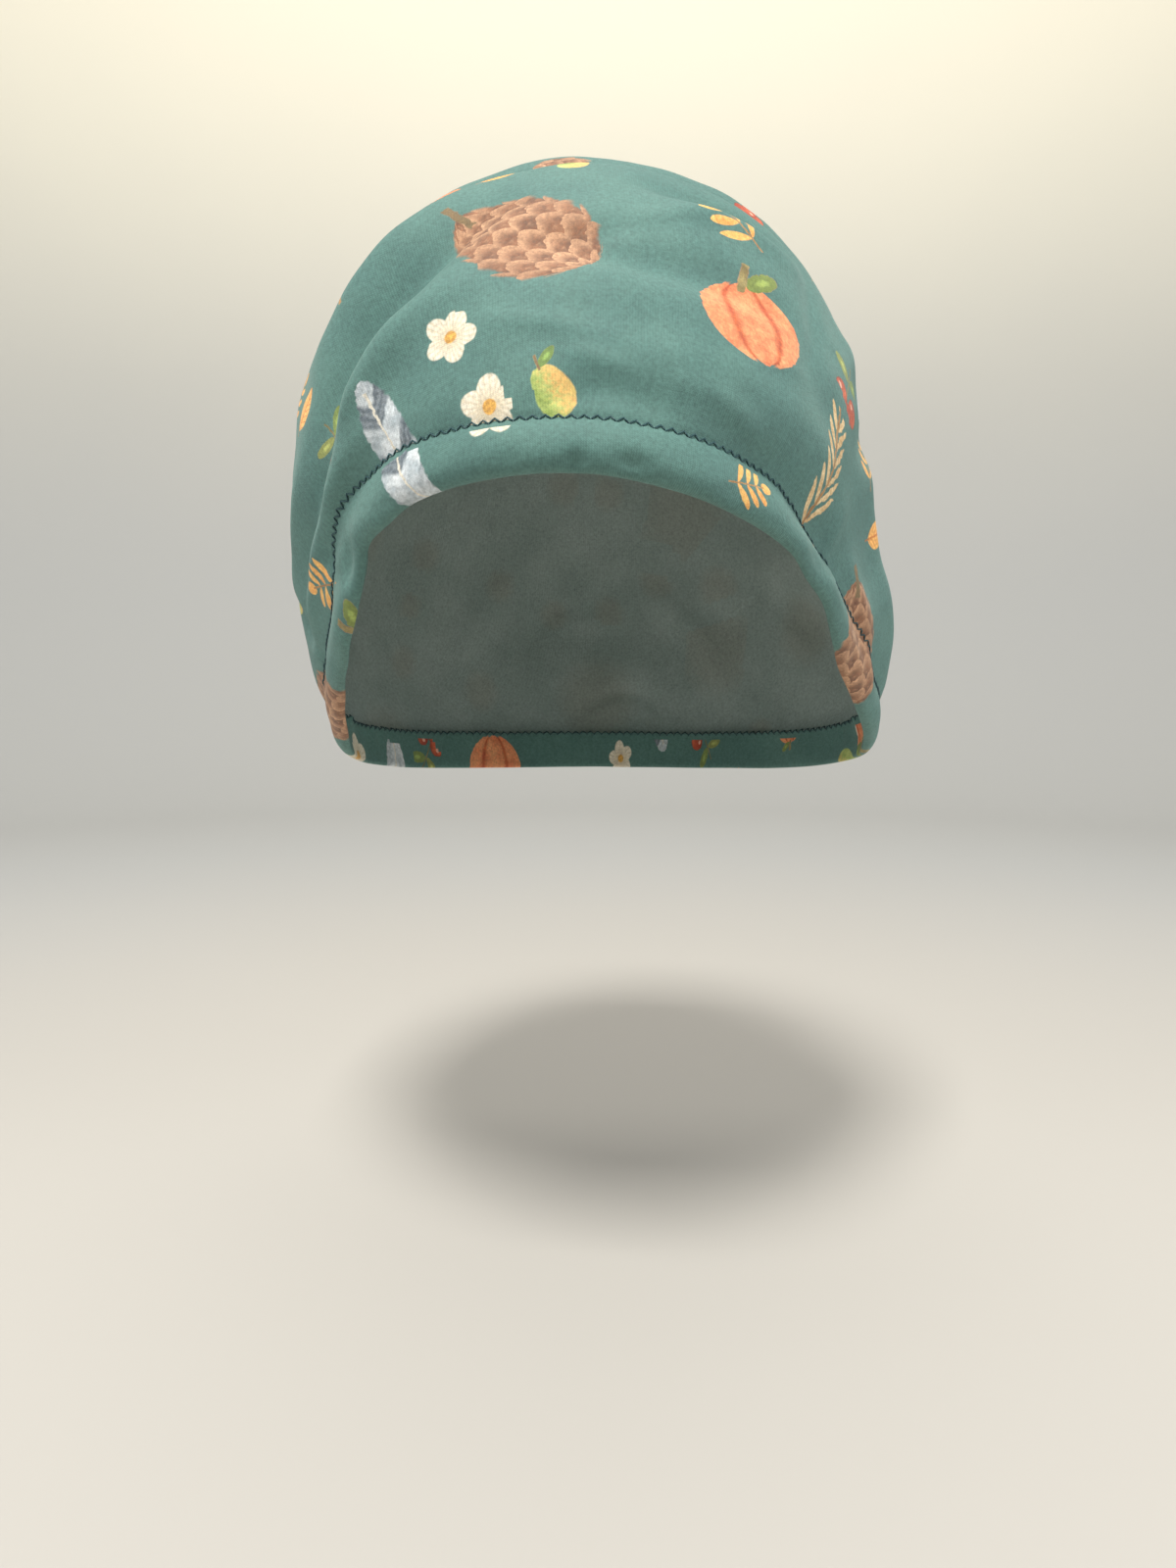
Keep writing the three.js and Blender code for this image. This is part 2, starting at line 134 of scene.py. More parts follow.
FOLDS = (
    Fold((-0.07, -0.315), (-0.285, -0.38), (-0.56, -0.34), 0.95, -1.55),
    Fold((-0.1, -0.415), (-0.3, -0.46), (-0.6, -0.365), 0.75, 0.95),
    Fold((-0.12, -0.255), (-0.28, -0.29), (-0.46, -0.265), 0.85, 0.7),
    Fold((0.04, -0.29), (0.16, -0.3), (0.3, -0.23), 0.5, -0.4),
    Fold((0.05, -0.33), (0.18, -0.33), (0.34, -0.24), 0.5, 0.4),
    Fold((-0.09, -0.37), (0.01, -0.45), (0.12, -0.34), 0.6, -0.4),
    Fold((-0.2, -0.47), (0.05, -0.5), (0.3, -0.42), 1.0, 0.35),
    Fold((-0.05, -0.53), (0.25, -0.58), (0.66, -0.26), 0.9, 0.45),
    Fold((0.2, -0.58), (0.46, -0.5), (0.68, -0.3), 0.7, -0.45),
    Fold((-0.86, -0.06), (-0.62, -0.4), (-0.28, -0.49), 0.55, 0.5),
    Fold((-0.8, -0.08), (-0.6, -0.34), (-0.36, -0.44), 0.55, -0.45),
    Fold((-0.76, -0.02), (-0.62, -0.24), (-0.5, -0.3), 0.6, 0.4),
    Fold((0.62, -0.3), (0.76, -0.24), (0.86, -0.12), 0.5, 0.4),
    Fold((0.86, 0.02), (0.72, -0.14), (0.5, -0.2), 0.7, 0.4),
    Fold((0.5, -0.32), (0.57, -0.16), (0.55, 0.12), 0.8, -0.45),
    Fold((0.4, -0.3), (0.47, -0.12), (0.46, 0.1), 0.8, 0.35),
    Fold((0.3, 0.1), (0.4, 0.24), (0.36, 0.42), 1.3, -0.5),
    Fold((-0.22, 0.2), (-0.36, 0.34), (-0.34, 0.56), 1.2, -0.55),
    Fold((-0.86, 0.2), (-0.56, 0.42), (-0.2, 0.5), 0.9, 0.45),
    Fold((0.86, 0.24), (0.6, 0.46), (0.26, 0.6), 0.9, 0.5),
    Fold((0.5, 0.72), (0.3, 0.66), (0.1, 0.7), 0.8, -0.45),
    Fold((-0.5, 0.7), (-0.3, 0.62), (-0.06, 0.64), 0.8, -0.4),
)

CREASES = (
    Fold((-0.16, -0.385), (0.11, -0.475), (0.34, -0.34), 0.8, -0.75),
    Fold((0.0, -0.45), (0.04, -0.452), (0.08, -0.45), 0.3, 0.12),
    Fold((-0.15, -0.48), (-0.05, -0.515), (0.08, -0.53), 0.35, 0.17),
    Fold((-0.03, -0.54), (0.025, -0.545), (0.09, -0.56), 0.3, 0.15),
    Fold((0.13, -0.555), (0.24, -0.53), (0.36, -0.505), 0.4, 0.22),
    Fold((0.26, -0.47), (0.31, -0.43), (0.36, -0.395), 0.3, 0.15),
    Fold((0.05, -0.375), (0.12, -0.35), (0.2, -0.3), 0.4, 0.32),
    Fold((-0.07, -0.4), (0.01, -0.425), (0.09, -0.385), 0.35, 0.2),
    Fold((-0.1, -0.59), (0.05, -0.572), (0.2, -0.577), 0.5, -0.3),
    Fold((-0.34, -0.43), (-0.45, -0.4), (-0.57, -0.36), 0.4, 0.22),
    Fold((-0.7, -0.3), (-0.66, -0.35), (-0.55, -0.42), 0.35, 0.2),
    Fold((-0.8, -0.2), (-0.78, -0.1), (-0.7, 0.0), 0.35, -0.18),
    Fold((0.72, -0.34), (0.76, -0.27), (0.82, -0.2), 0.3, 0.2),
    Fold((0.62, -0.42), (0.6, -0.36), (0.56, -0.3), 0.35, 0.18),
    Fold((0.3, -0.2), (0.36, -0.3), (0.36, -0.4), 0.45, -0.2),
    Fold((-0.3, 0.78), (-0.1, 0.7), (0.12, 0.74), 0.45, 0.2),
    Fold((-0.1, 0.92), (0.1, 0.84), (0.3, 0.86), 0.4, 0.2),
    Fold((0.1, 0.1), (0.16, 0.26), (0.12, 0.44), 0.5, 0.18),
)


class HemDent(NamedTuple):
    """A dent in the rolled hem: its two angles in degrees, and its place and size in metres."""

    first: float
    last: float
    up: float
    spread: float
    depth: float


HEM_DENTS = (
    HemDent(-3.0, 1.5, 2.2 * MM, 2.0 * MM, 1.3 * MM),
    HemDent(4.0, 12.0, 2.8 * MM, 2.2 * MM, 1.3 * MM),
    HemDent(-15.0, -8.0, 3.0 * MM, 2.2 * MM, 0.45 * MM),
    HemDent(-53.0, -47.0, 4.0 * MM, 2.6 * MM, 1.3 * MM),
    HemDent(-40.0, -33.0, 2.6 * MM, 2.0 * MM, 0.5 * MM),
    HemDent(22.0, 29.0, 3.0 * MM, 2.2 * MM, 0.5 * MM),
    HemDent(44.0, 52.0, 3.4 * MM, 2.4 * MM, 0.8 * MM),
    HemDent(66.0, 72.0, 4.0 * MM, 2.4 * MM, 0.8 * MM),
)


def table_column(rows: tuple[NamedTuple, ...], name: str) -> Array:
    """Return one named column of a table."""
    return np.array([getattr(row, name) for row in rows], float)


def even_curve(keys: Array, values: Array, at: Array) -> Array:
    """Carry a smooth curve through rows.

    Between two rows it is the cubic whose slope at each row is that of the chord between the
    row's two neighbours.

    Args:
        keys: Places of the rows, rising, with one row more at each end than is used.
        values: The rows' values.
        at: Places to read the curve at.

    Returns:
        The curve's values there.
    """
    row = np.clip(np.searchsorted(keys, at, side="right") - 1, 1, len(keys) - 3)
    slope = (values[2:] - values[:-2]) / (keys[2:] - keys[:-2])
    span = keys[row + 1] - keys[row]
    t = (at - keys[row]) / span
    start = values[row] * (2 * t**3 - 3 * t**2 + 1) + slope[row - 1] * span * (t**3 - 2 * t**2 + t)
    return start + values[row + 1] * (3 * t**2 - 2 * t**3) + slope[row] * span * (t**3 - t**2)


def unit(vectors: Array) -> Array:
    """Return vectors of length one in the same directions."""
    return vectors / np.linalg.norm(vectors, axis=-1, keepdims=True)


def dense_ends(count: int, share: float = 0.7) -> Array:
    """Return shares from 0 to 1 in a number of steps, smaller towards both ends."""
    t = np.linspace(0, 1, count + 1)
    return t - share * np.sin(2 * math.pi * t) / (2 * math.pi)


def between_rows(grid: Array, at: Array) -> Array:
    """Read a grid between its rows, by the even curve through each column.

    Args:
        grid: Evenly spaced rows of values.
        at: Row numbers, of which those below 0 go straight on from the first two rows.

    Returns:
        The values, a row for each number.
    """
    keys = np.arange(-1.0, len(grid) + 1)
    padded = np.concatenate([2 * grid[:1] - grid[1:2], grid, 2 * grid[-1:] - grid[-2:-1]])
    shape = (-1,) + (1,) * (grid.ndim - 1)
    beyond = np.minimum(at, 0).reshape(shape)
    row = np.clip(np.floor(at).astype(int) + 1, 1, len(grid) - 1)
    t = (np.maximum(at, 0) - keys[row]).reshape(shape)
    p, a, b, n = (padded[row + k] for k in (-1, 0, 1, 2))
    curve = a + 0.5 * t * (b - p + t * (2 * p - 5 * a + 4 * b - n + t * (3 * a - 3 * b + n - p)))
    return curve + beyond * (grid[1] - grid[0])


def nearest(points: Array, line: Array, reach: float) -> tuple[Array, Array]:
    """Measure how near points lie to a line of straight pieces.

    The line is taken a stretch at a time, and each stretch looks only at the points in a box
    round it.

    Args:
        points: Points in space, in any arrangement.
        line: The line's points in order.
        reach: Distance beyond which a point needs no measuring.

    Returns:
        Each point's distance to the line, endless where it is beyond reach, and the share of
        the line at which it is nearest.
    """
    flat = points.reshape(-1, 3)
    best = np.full(len(flat), np.inf)
    share = np.zeros(len(flat))
    for first in range(0, len(line) - 1, STRETCH):
        part = line[first:first + STRETCH + 1]
        close = ((flat > part.min(0) - reach) & (flat < part.max(0) + reach)).all(1).nonzero()[0]
        here = flat[close]
        for i in range(len(part) - 1):
            run = part[i + 1] - part[i]
            along = np.clip((here - part[i]) @ run / (run @ run), 0, 1)
            distance = np.linalg.norm(here - part[i] - along[:, None] * run, axis=1)
            closer = distance < best[close]
            best[close[closer]] = distance[closer]
            share[close[closer]] = (first + i + along[closer]) / (len(line) - 1)
    return best.reshape(points.shape[:-1]), share.reshape(points.shape[:-1])


def bell(distance: Array, spread: float) -> Array:
    """Return a smooth hump, 1 at no distance and falling away over the spread."""
    return np.exp(-((distance / spread) ** 2))


def uneven_wave(phase: Array) -> Array:
    """Return a sine whose length and height both waver slowly."""
    return np.sin(phase + 1.3 * np.sin(phase * 0.31)) * (0.6 + 0.4 * np.sin(phase * 0.17))


@dataclass(frozen=True)
class CapForm:
    """The cap's form as it is worn, the same as that of the solids, in metres.

    The cap is drawn on a flat chart: the top in its middle, the front at negative second
    coordinate, and one unit of radius down to the nape edge. The last fields say how finely
    lines and tables are divided, and how the slight waves of the cloth are drawn.
    """

    crown_rise: float = 97 * MM
    nape_drop: float = 78 * MM
    half_width: float = 88.5 * MM
    front_reach: float = 102 * MM
    back_reach: float = 104 * MM
    setback: float = 8.5 * MM
    lean: float = 3 * MM
    rim_half_width: float = 74.5 * MM
    rim_front_reach: float = 103 * MM
    rim_back_reach: float = 76 * MM
    rim_setback: float = 8 * MM
    ear_flare: float = 10 * MM
    ear_angle: float = 97.0
    brow_ease: float = 34 * MM
    side_ease: float = 60 * MM
    ease_start: float = 4 * MM
    cloth: float = 1.1 * MM
    hem_width: float = 12 * MM
    hem_thickness: float = 2.6 * MM
    hem_bulge: float = 1.3 * MM
    hem_full_up: float = 4.6 * MM
    seam_forward: float = 48 * MM
    seam_dip: float = 1.1 * MM
    seam_spread: float = 4 * MM
    stitch_dip: float = 0.9 * MM
    stitch_spread: float = 4.5 * MM
    fold_depth: float = 4.6 * MM
    fold_spread: float = 8 * MM
    ripple_height: float = 0.08 * MM
    ripple_length: float = 26 * MM
    pucker_height: float = 0.16 * MM
    pucker_length: float = 8.4 * MM
    pucker_reach: float = 4 * MM
    groove_depth: float = 0.8 * MM
    groove_spread: float = 1.1 * MM
    bite_depth: float = 0.3 * MM
    bite_spread: float = 1.2 * MM
    seam_shoulder: float = 0.62
    nudge: float = 0.001
    height_points: int = 401
    seam_points: int = 97
    stitch_points: int = 145
    fold_points: int = 17
    dent_points: int = 9
    ripple_count: int = 14
    ripple_seed: int = 7
    ripple_stretch: Place = (0.7, 2.2)

    def column(self, way: Array, values: Array, mirrored: bool) -> Array:
        """Read a column of the sections, run evenly over the top.

        Args:
            way: Shares of the way down.
            values: The column, in metres.
            mirrored: True for a width, which changes sign past the top.

        Returns:
            The column's values at those shares.
        """
        ways = table_column(SECTIONS, "way")
        sign = -1 if mirrored else 1
        keys = np.concatenate([[-ways[1]], ways, [2 * ways[-1] - ways[-2]]])
        padded = np.concatenate([[sign * values[1]], values, [2 * values[-1] - values[-2]]])
        return even_curve(keys, padded, np.clip(way, 0, ways[-1]))

    def height(self, way: Array) -> Array:
        """Return the height of the section at each share of the way down."""
        shares = table_column(SECTIONS, "height")
        return self.column(way, shares * np.where(shares > 0, self.crown_rise, self.nape_drop), False)

    @cached_property
    def height_table(self) -> tuple[Array, Array]:
        """Heights from the nape edge up, with their shares of the way down."""
        ways = np.linspace(1, 0, self.height_points)
        return self.height(ways), ways

    def edge_value(self, angle: Array, values: Array) -> Array:
        """Read a column of the edge's table, which goes round and round the head.

        Args:
            angle: Angles in degrees from the front.
            values: The column.

        Returns:
            The column's values at those angles.
        """
        angles = table_column(EDGE, "angle")
        keys = np.concatenate([angles[-2:] - 360, angles, angles[:2] + 360])
        padded = np.concatenate([values[-2:], values, values[:2]])
        return even_curve(keys, padded, (angle + 180) % 360 - 180)

    def edge_height(self, angle: Array) -> Array:
        """Return the height of the hem's lower edge at angles in degrees."""
        return self.edge_value(angle, -self.nape_drop * table_column(EDGE, "drop"))

    def section_point(self, angle: Array, way: Array, side: Array, ahead: Array, behind: Array,
                      setback: Array) -> Array:
        """Place points on level ellipses.

        Across, a point stands at the lean plus side times sin(angle). Along, it stands at the
        setback minus the reach times cos(angle), with one reach ahead and another behind.

        Args:
            angle: Angles in degrees from the front.
            way: Shares of the way down.
            side: Half the ellipse's width.
            ahead: Its reach to the front.
            behind: Its reach to the back.
            setback: How far back its middle stands.

        Returns:
            The points.
        """
        turn = np.radians(angle)
        lean = self.column(way, self.lean * table_column(SECTIONS, "lean"), False)
        reach = np.where(np.cos(turn) > 0, ahead, behind)
        across = lean + side * np.sin(turn)
        return np.stack([across, setback - reach * np.cos(turn), self.height(way)], axis=-1)

    def dome(self, angle: Array, way: Array) -> Array:
        """Place points on the full dome.

        Args:
            angle: Angles in degrees from the front.
            way: Shares of the way down.

        Returns:
            The points.
        """
        sizes = (
            self.column(way, size * table_column(SECTIONS, name), name != "setback")
            for name, size in (("width", self.half_width), ("front", self.front_reach),
                               ("back", self.back_reach), ("setback", self.setback))
        )
        return self.section_point(angle, way, *sizes)

    def rim(self, angle: Array, way: Array) -> Array:
        """Place points where the rim sits against the head.

        Args:
            angle: Angles in degrees from the front.
            way: Shares of the way down.

        Returns:
            The points.
        """
        flare = self.edge_value(angle, self.ear_flare * table_column(EDGE, "flare"))
        return self.section_point(
            angle, way, self.rim_half_width + flare, self.rim_front_reach + flare,
            self.rim_back_reach + flare, np.full_like(angle, self.rim_setback),
        )

    def smooth_skin(self, places: Array) -> Array:
        """Lay chart places on the cap without its folds.

        The dome draws in to the rim near the edge: it moves by the rim's offset times a smooth
        hold that is 1 at the edge and 0 once the cloth has eased out.

        Args:
            places: Chart places, two numbers each.

        Returns:
            Points in space.
        """
        way = np.hypot(places[..., 0], places[..., 1])
        angle = np.degrees(np.arctan2(places[..., 0], -places[..., 1]))
        points = self.dome(angle, way)
        edge = self.edge_height(angle)
        edge_way = np.interp(edge, *self.height_table)
        side = np.sin(np.radians(angle)) ** 2
        brow_ease = self.brow_ease + (self.side_ease - self.brow_ease) * side
        ease = np.where(np.abs(angle) < 90, brow_ease, self.side_ease)
        rise = np.clip((points[..., 2] - edge - self.ease_start) / ease, 0, 1)
        hold = (1 - rise) ** 2 * (1 + 2 * rise)
        pull = self.rim(angle, edge_way) - self.dome(angle, edge_way)
        return points + pull * hold[..., None]

    def slopes(self, places: Array) -> tuple[Array, Array, Array]:
        """Measure the smooth skin.

        Args:
            places: Chart places.

        Returns:
            Points in space, and the slopes along the chart's first and second direction.
        """
        here = self.smooth_skin(places)
        right = (self.smooth_skin(places + [self.nudge, 0]) - here) / self.nudge
        rear = (self.smooth_skin(places + [0, self.nudge]) - here) / self.nudge
        return here, right, rear

    def sideways(self, places: Array, headings: Array, distance: Array | float) -> Array:
        """Move chart places along the cloth, square to a line.

        The step square to the line is the cross product of normal and heading. It is brought
        back to the chart through the skin's two slopes, by least squares.

        Args:
            places: Chart places on the line.
            headings: The line's directions on the chart.
            distance: Metres to the left of the line, seen from outside.

        Returns:
            The moved places.
        """
        _, right, rear = self.slopes(places)
        line = right * headings[..., :1] + rear * headings[..., 1:]
        across = unit(np.cross(np.cross(right, rear), line)) * np.asarray(distance)[..., None]
        rr, rb, bb = ((a * b).sum(-1) for a, b in ((right, right), (right, rear), (rear, rear)))
        ra, ba = ((a * across).sum(-1) for a in (right, rear))
        step = np.stack([ra * bb - ba * rb, ba * rr - ra * rb], axis=-1)
        return places + step / (rr * bb - rb * rb)[..., None]

    def edge_line(self, angle: Array) -> Array:
        """Trace the hem's lower edge.

        Args:
            angle: Angles in degrees from the front.

        Returns:
            Chart places.
        """
        way = np.interp(self.edge_height(angle), *self.height_table)
        turn = np.radians(angle)
        return np.stack([way * np.sin(turn), -way * np.cos(turn)], axis=-1)

    def above_edge(self, angle: Array, distance: Array | float) -> Array:
        """Return the chart places a distance up the cloth from the lower edge."""
        heading = self.edge_line(angle + 1) - self.edge_line(angle - 1)
        return self.sideways(self.edge_line(angle), heading, distance)

    def swell(self, up: Array) -> Array:
        """Return how far the hem's face stands out: a parabola from the stitching down."""
        t = np.clip((up - self.hem_full_up) / (self.hem_width - self.hem_full_up), 0, 1)
        return self.hem_bulge * (1 - t * t)

    @cached_property
    def corners(self) -> Array:
        """The two ear corners on the chart, where the crown seam meets the stitching."""
        angles = np.array([-self.ear_angle, self.ear_angle])
        return self.above_edge(angles, np.full(2, self.hem_width))

    def seam_line(self, t: Array) -> Array:
        """Trace the crown seam, a parabola on the chart from ear to ear.

        Args:
            t: -1 at the left ear, 0 in front of the top and 1 at the right ear.

        Returns:
            Chart places.
        """
        near_top = self.smooth_skin(np.array([[0, -self.nudge], [0, 0]]))
        front = -self.seam_forward * self.nudge / np.linalg.norm(near_top[1] - near_top[0])
        corner = np.where((t < 0)[..., None], self.corners[0], self.corners[1])
        along = front * (1 - t * t) + corner[..., 1] * t * t
        return np.stack([corner[..., 0] * np.abs(t), along], axis=-1)

    @cached_property
    def seam_trace(self) -> Array:
        """The crown seam as points in space."""
        return self.smooth_skin(self.seam_line(np.linspace(-1, 1, self.seam_points)))

    @cached_property
    def stitch_trace(self) -> Array:
        """The hem's stitching as points in space, right round the head."""
        angle = np.linspace(-180, 180, self.stitch_points)
        return self.smooth_skin(self.above_edge(angle, self.hem_width))

    @cached_property
    def ripples(self) -> Array:
        """Directions, phases and heights of the slight waves that any worn cloth has."""
        draw = np.random.default_rng(self.ripple_seed)
        stretch = draw.uniform(*self.ripple_stretch, self.ripple_count)
        pace = 2 * math.pi / self.ripple_length * stretch
        turns = unit(draw.normal(size=(self.ripple_count, 3))) * pace[:, None]
        return np.column_stack([turns, draw.uniform(0, 2 * math.pi, self.ripple_count), 1 / stretch])

    def raised(self, points: Array, line: Array, spread: float, height: float) -> Array:
        """Raise a ridge along a line: a bell across it, times a half sine along it."""
        distance, share = nearest(points, line, 3 * spread)
        return height * bell(distance, spread) * np.sin(math.pi * share)

    def relief(self, points: Array) -> Array:
        """Work out how far the folds, seams and slight waves move the cloth out.

        Each fold and each dent of the hem is a bell of the distance to its line times a half
        sine along it. The crown seam and the stitching each dip by a wide bell and a narrow
        one, with small puckers that run along them as a sine and die away beside them.

        Args:
            points: Points of the smooth skin.

        Returns:
            Metres along the outward normal.
        """
        reach = 5 * self.pucker_reach
        seam, seam_share = nearest(points, self.seam_trace, reach)
        stitch, stitch_share = nearest(points, self.stitch_trace, reach)
        total = -self.seam_dip * bell(seam, self.seam_spread)
        total -= self.stitch_dip * bell(stitch, self.stitch_spread)
        total -= self.groove_depth * bell(seam, self.groove_spread)
        total -= self.bite_depth * bell(stitch, self.bite_spread)
        for distance, share, line in ((seam, seam_share, self.seam_trace),
                                      (stitch, stitch_share, self.stitch_trace)):
            length = np.linalg.norm(np.diff(line, axis=0), axis=1).sum()
            phase = 2 * math.pi * share * length / self.pucker_length
            fade = np.exp(-distance / self.pucker_reach)
            total += self.pucker_height * uneven_wave(phase) * fade
        t = np.linspace(0, 1, self.fold_points)[:, None]
        for fold in FOLDS + CREASES:
            start, by, end = (np.array(place) for place in (fold.start, fold.by, fold.end))
            line = self.smooth_skin((1 - t) ** 2 * start + 2 * t * (1 - t) * by + t**2 * end)
            total += self.raised(points, line, fold.spread * self.fold_spread,
                                 fold.rise * self.fold_depth)
        for dent in HEM_DENTS:
            angle = np.linspace(dent.first, dent.last, self.dent_points)
            line = self.smooth_skin(self.above_edge(angle, dent.up))
            total += self.raised(points, line, dent.spread, -dent.depth)
        for *turn, phase, height in self.ripples:
            total += self.ripple_height * height * np.sin(points @ np.array(turn) + phase)
        return total

    def lay(self, places: Array) -> tuple[Array, Array]:
        """Lay chart places on the folded cloth.

        Args:
            places: Chart places.

        Returns:
            Points in space, and the smooth skin's outward normals there.
        """
        smooth, right, rear = self.slopes(places)
        out = unit(np.cross(right, rear))
        return smooth + out * self.relief(smooth)[..., None], out


@dataclass(frozen=True)
class Half:
    """One half of the cap, a panel with its hem, between two angles from the front.

    Its chart places run from the lower edge, over the hem, up to the crown seam.
    """

    form: CapForm
    first_angle: float
    last_angle: float
    direction: int

    def angles(self, u: Array) -> Array:
        """Return the angles at shares of the way along the hem."""
        return self.first_angle + (self.last_angle - self.first_angle) * u

    def panel_places(self, u: Array, v: Array) -> Array:
        """Spread the panel over the chart between its four sides.

        Foot and top are blended up the panel and the two sides across it, less the blend of
        the four corners, which both hold.

        Args:
            u: Shares of the way along, from the first ear to the last.
            v: Shares of the way up, from the stitching to the crown seam.

        Returns:
            A grid of chart places, a row for each v.
        """
        form = self.form
        shoulder = form.seam_shoulder
        foot = form.above_edge(self.angles(u), form.hem_width)
        top = form.seam_line(self.direction * shoulder * (2 * u - 1))
        rise = 1 - (1 - shoulder) * v
        near = form.seam_line(-self.direction * rise)
        far = form.seam_line(self.direction * rise)
        u, v = u[None, :, None], v[:, None, None]
        up = foot[None] * (1 - v) + top[None] * v
        across = near[:, None] * (1 - u) + far[:, None] * u
        low = foot[:1][None] * (1 - u) + foot[-1:][None] * u
        high = top[:1][None] * (1 - u) + top[-1:][None] * u
        return up + across - (low * (1 - v) + high * v)

    def hem_places(self, u: Array, up: Array) -> Array:
        """Return chart places over the hem, a row for each distance up from the edge."""
        angle, distance = np.meshgrid(self.angles(u), up)
        return self.form.above_edge(angle, distance)

    @cached_property
    def pattern(self) -> Array:
        """The half laid flat in metres, hem first and panel after, its hem's two ends level."""
        u = np.linspace(0, 1, PATTERN_COLUMNS + 1)
        hem = self.hem_places(u, np.linspace(0, self.form.hem_width, PATTERN_HEM_ROWS + 1))
        panel = self.panel_places(u, np.linspace(0, 1, PATTERN_PANEL_ROWS + 1))
        places = np.concatenate([hem, panel[1:]])
        flat = flatten(self.form.smooth_skin(places), places * self.direction * PATTERN_START)
        across, up = flat[0, -1] - flat[0, 0]
        c, s = np.array([across, up]) / math.hypot(across, up)
        return (flat - (flat[0, 0] + flat[0, -1]) / 2) @ np.array([[c, -s], [s, c]])

    def flat(self, u: Array, row: Array) -> Array:
        """Read the flat pattern.

        Args:
            u: Shares of the way along.
            row: Rows of the pattern, of which those below 0 lie on the turned-under side.

        Returns:
            A grid of flat places in metres, a row for each pattern row.
        """
        along = between_rows(self.pattern.swapaxes(0, 1), u * PATTERN_COLUMNS)
        return between_rows(along.swapaxes(0, 1), row)

    def cut(self) -> tuple[float, float, float]:
        """Measure the cloth that is cut for the half, with the part of the hem that turns under.

        The area is the sum of the pattern's cells, each half the cross product of its
        diagonals.

        Returns:
            Width and length in metres, and area in square metres.
        """
        rows = np.arange(-PATTERN_HEM_ROWS, PATTERN_HEM_ROWS + PATTERN_PANEL_ROWS + 1.0)
        flat = self.flat(np.linspace(0, 1, PATTERN_COLUMNS + 1), rows)
        one = flat[1:, 1:] - flat[:-1, :-1]
        other = flat[1:, :-1] - flat[:-1, 1:]
        area = (one[..., 0] * other[..., 1] - one[..., 1] * other[..., 0]).sum() / 2
        width, length = np.ptp(flat.reshape(-1, 2), axis=0)
        return float(width), float(length), float(area)


def flatten(solid: Array, start: Array, rounds: int = 60) -> Array:
    """Lay a grid of cloth flat with each of its triangles as near its true shape as it can be.

    Over and over, each true triangle is turned to the best fit with the flat one, and the flat
    grid is then solved by least squares for the turned edges, each weighted by the cotangent of
    the angle that faces it.

    Args:
        solid: The grid in space.
        start: A first flat grid.
        rounds: How often to turn and solve.

    Returns:
        The flat grid, in metres.
    """
    index = np.arange(solid[..., 0].size).reshape(solid.shape[:2])
    a, b, c, d = index[:-1, :-1], index[:-1, 1:], index[1:, 1:], index[1:, :-1]
    triangles = np.concatenate([np.stack(t, -1).reshape(-1, 3) for t in ((a, b, c), (a, c, d))])
    corner = solid.reshape(-1, 3)[triangles]
    run, side = corner[:, 1] - corner[:, 0], corner[:, 2] - corner[:, 0]
    length = np.linalg.norm(run, axis=1)
    rise = np.linalg.norm(np.cross(run, side), axis=1) / length
    zero = np.zeros_like(length)
    along = (side * run).sum(1) / length
    true = np.stack([zero, zero, length, zero, along, rise], axis=1).reshape(-1, 3, 2)
    edge = np.roll(true, -1, axis=1) - np.roll(true, -2, axis=1)
    legs = true - np.roll(true, -1, axis=1), true - np.roll(true, -2, axis=1)
    weight = (legs[0] * legs[1]).sum(-1) / (length * rise)[:, None] / 2
    one, other = np.roll(triangles, -1, axis=1), np.roll(triangles, -2, axis=1)
    system = np.zeros((index.size, index.size))
    cells = (one, one, 1), (other, other, 1), (one, other, -1), (other, one, -1)
    for row, column, sign in cells:
        np.add.at(system, (row, column), sign * weight)
    solver = np.linalg.inv(system[1:, 1:])
    flat = start.reshape(-1, 2)
    for _ in range(rounds):
        now = flat[one] - flat[other]
        cosine = (weight * (now * edge).sum(-1)).sum(1)
        sine = (weight * (now[..., 1] * edge[..., 0] - now[..., 0] * edge[..., 1])).sum(1)
        turn = np.arctan2(sine, cosine)[:, None]
        c, s = np.cos(turn), np.sin(turn)
        x, y = edge[..., 0], edge[..., 1]
        turned = np.stack([c * x - s * y, s * x + c * y], axis=-1)
        pull = np.zeros_like(flat)
        np.add.at(pull, one, weight[..., None] * turned)
        np.add.at(pull, other, -weight[..., None] * turned)
        flat = np.concatenate([flat[:1], flat[:1] + solver @ pull[1:]])
    return flat.reshape(start.shape)


class Motif(IntEnum):
    """The motifs of the print."""

    CONE = 0
    GOURD = 1
    FEATHER = 2
    PEAR = 3
    SPRIG = 4
    BERRIES = 5
    BLOSSOM = 6
    WHEAT = 7
    LEAF = 8


class Printed(NamedTuple):
    """One motif of the repeat: its place in shares of it, half size, slimness and turn."""

    motif: Motif
    right: float
    up: float
    half: float
    slim: float
    turn: float


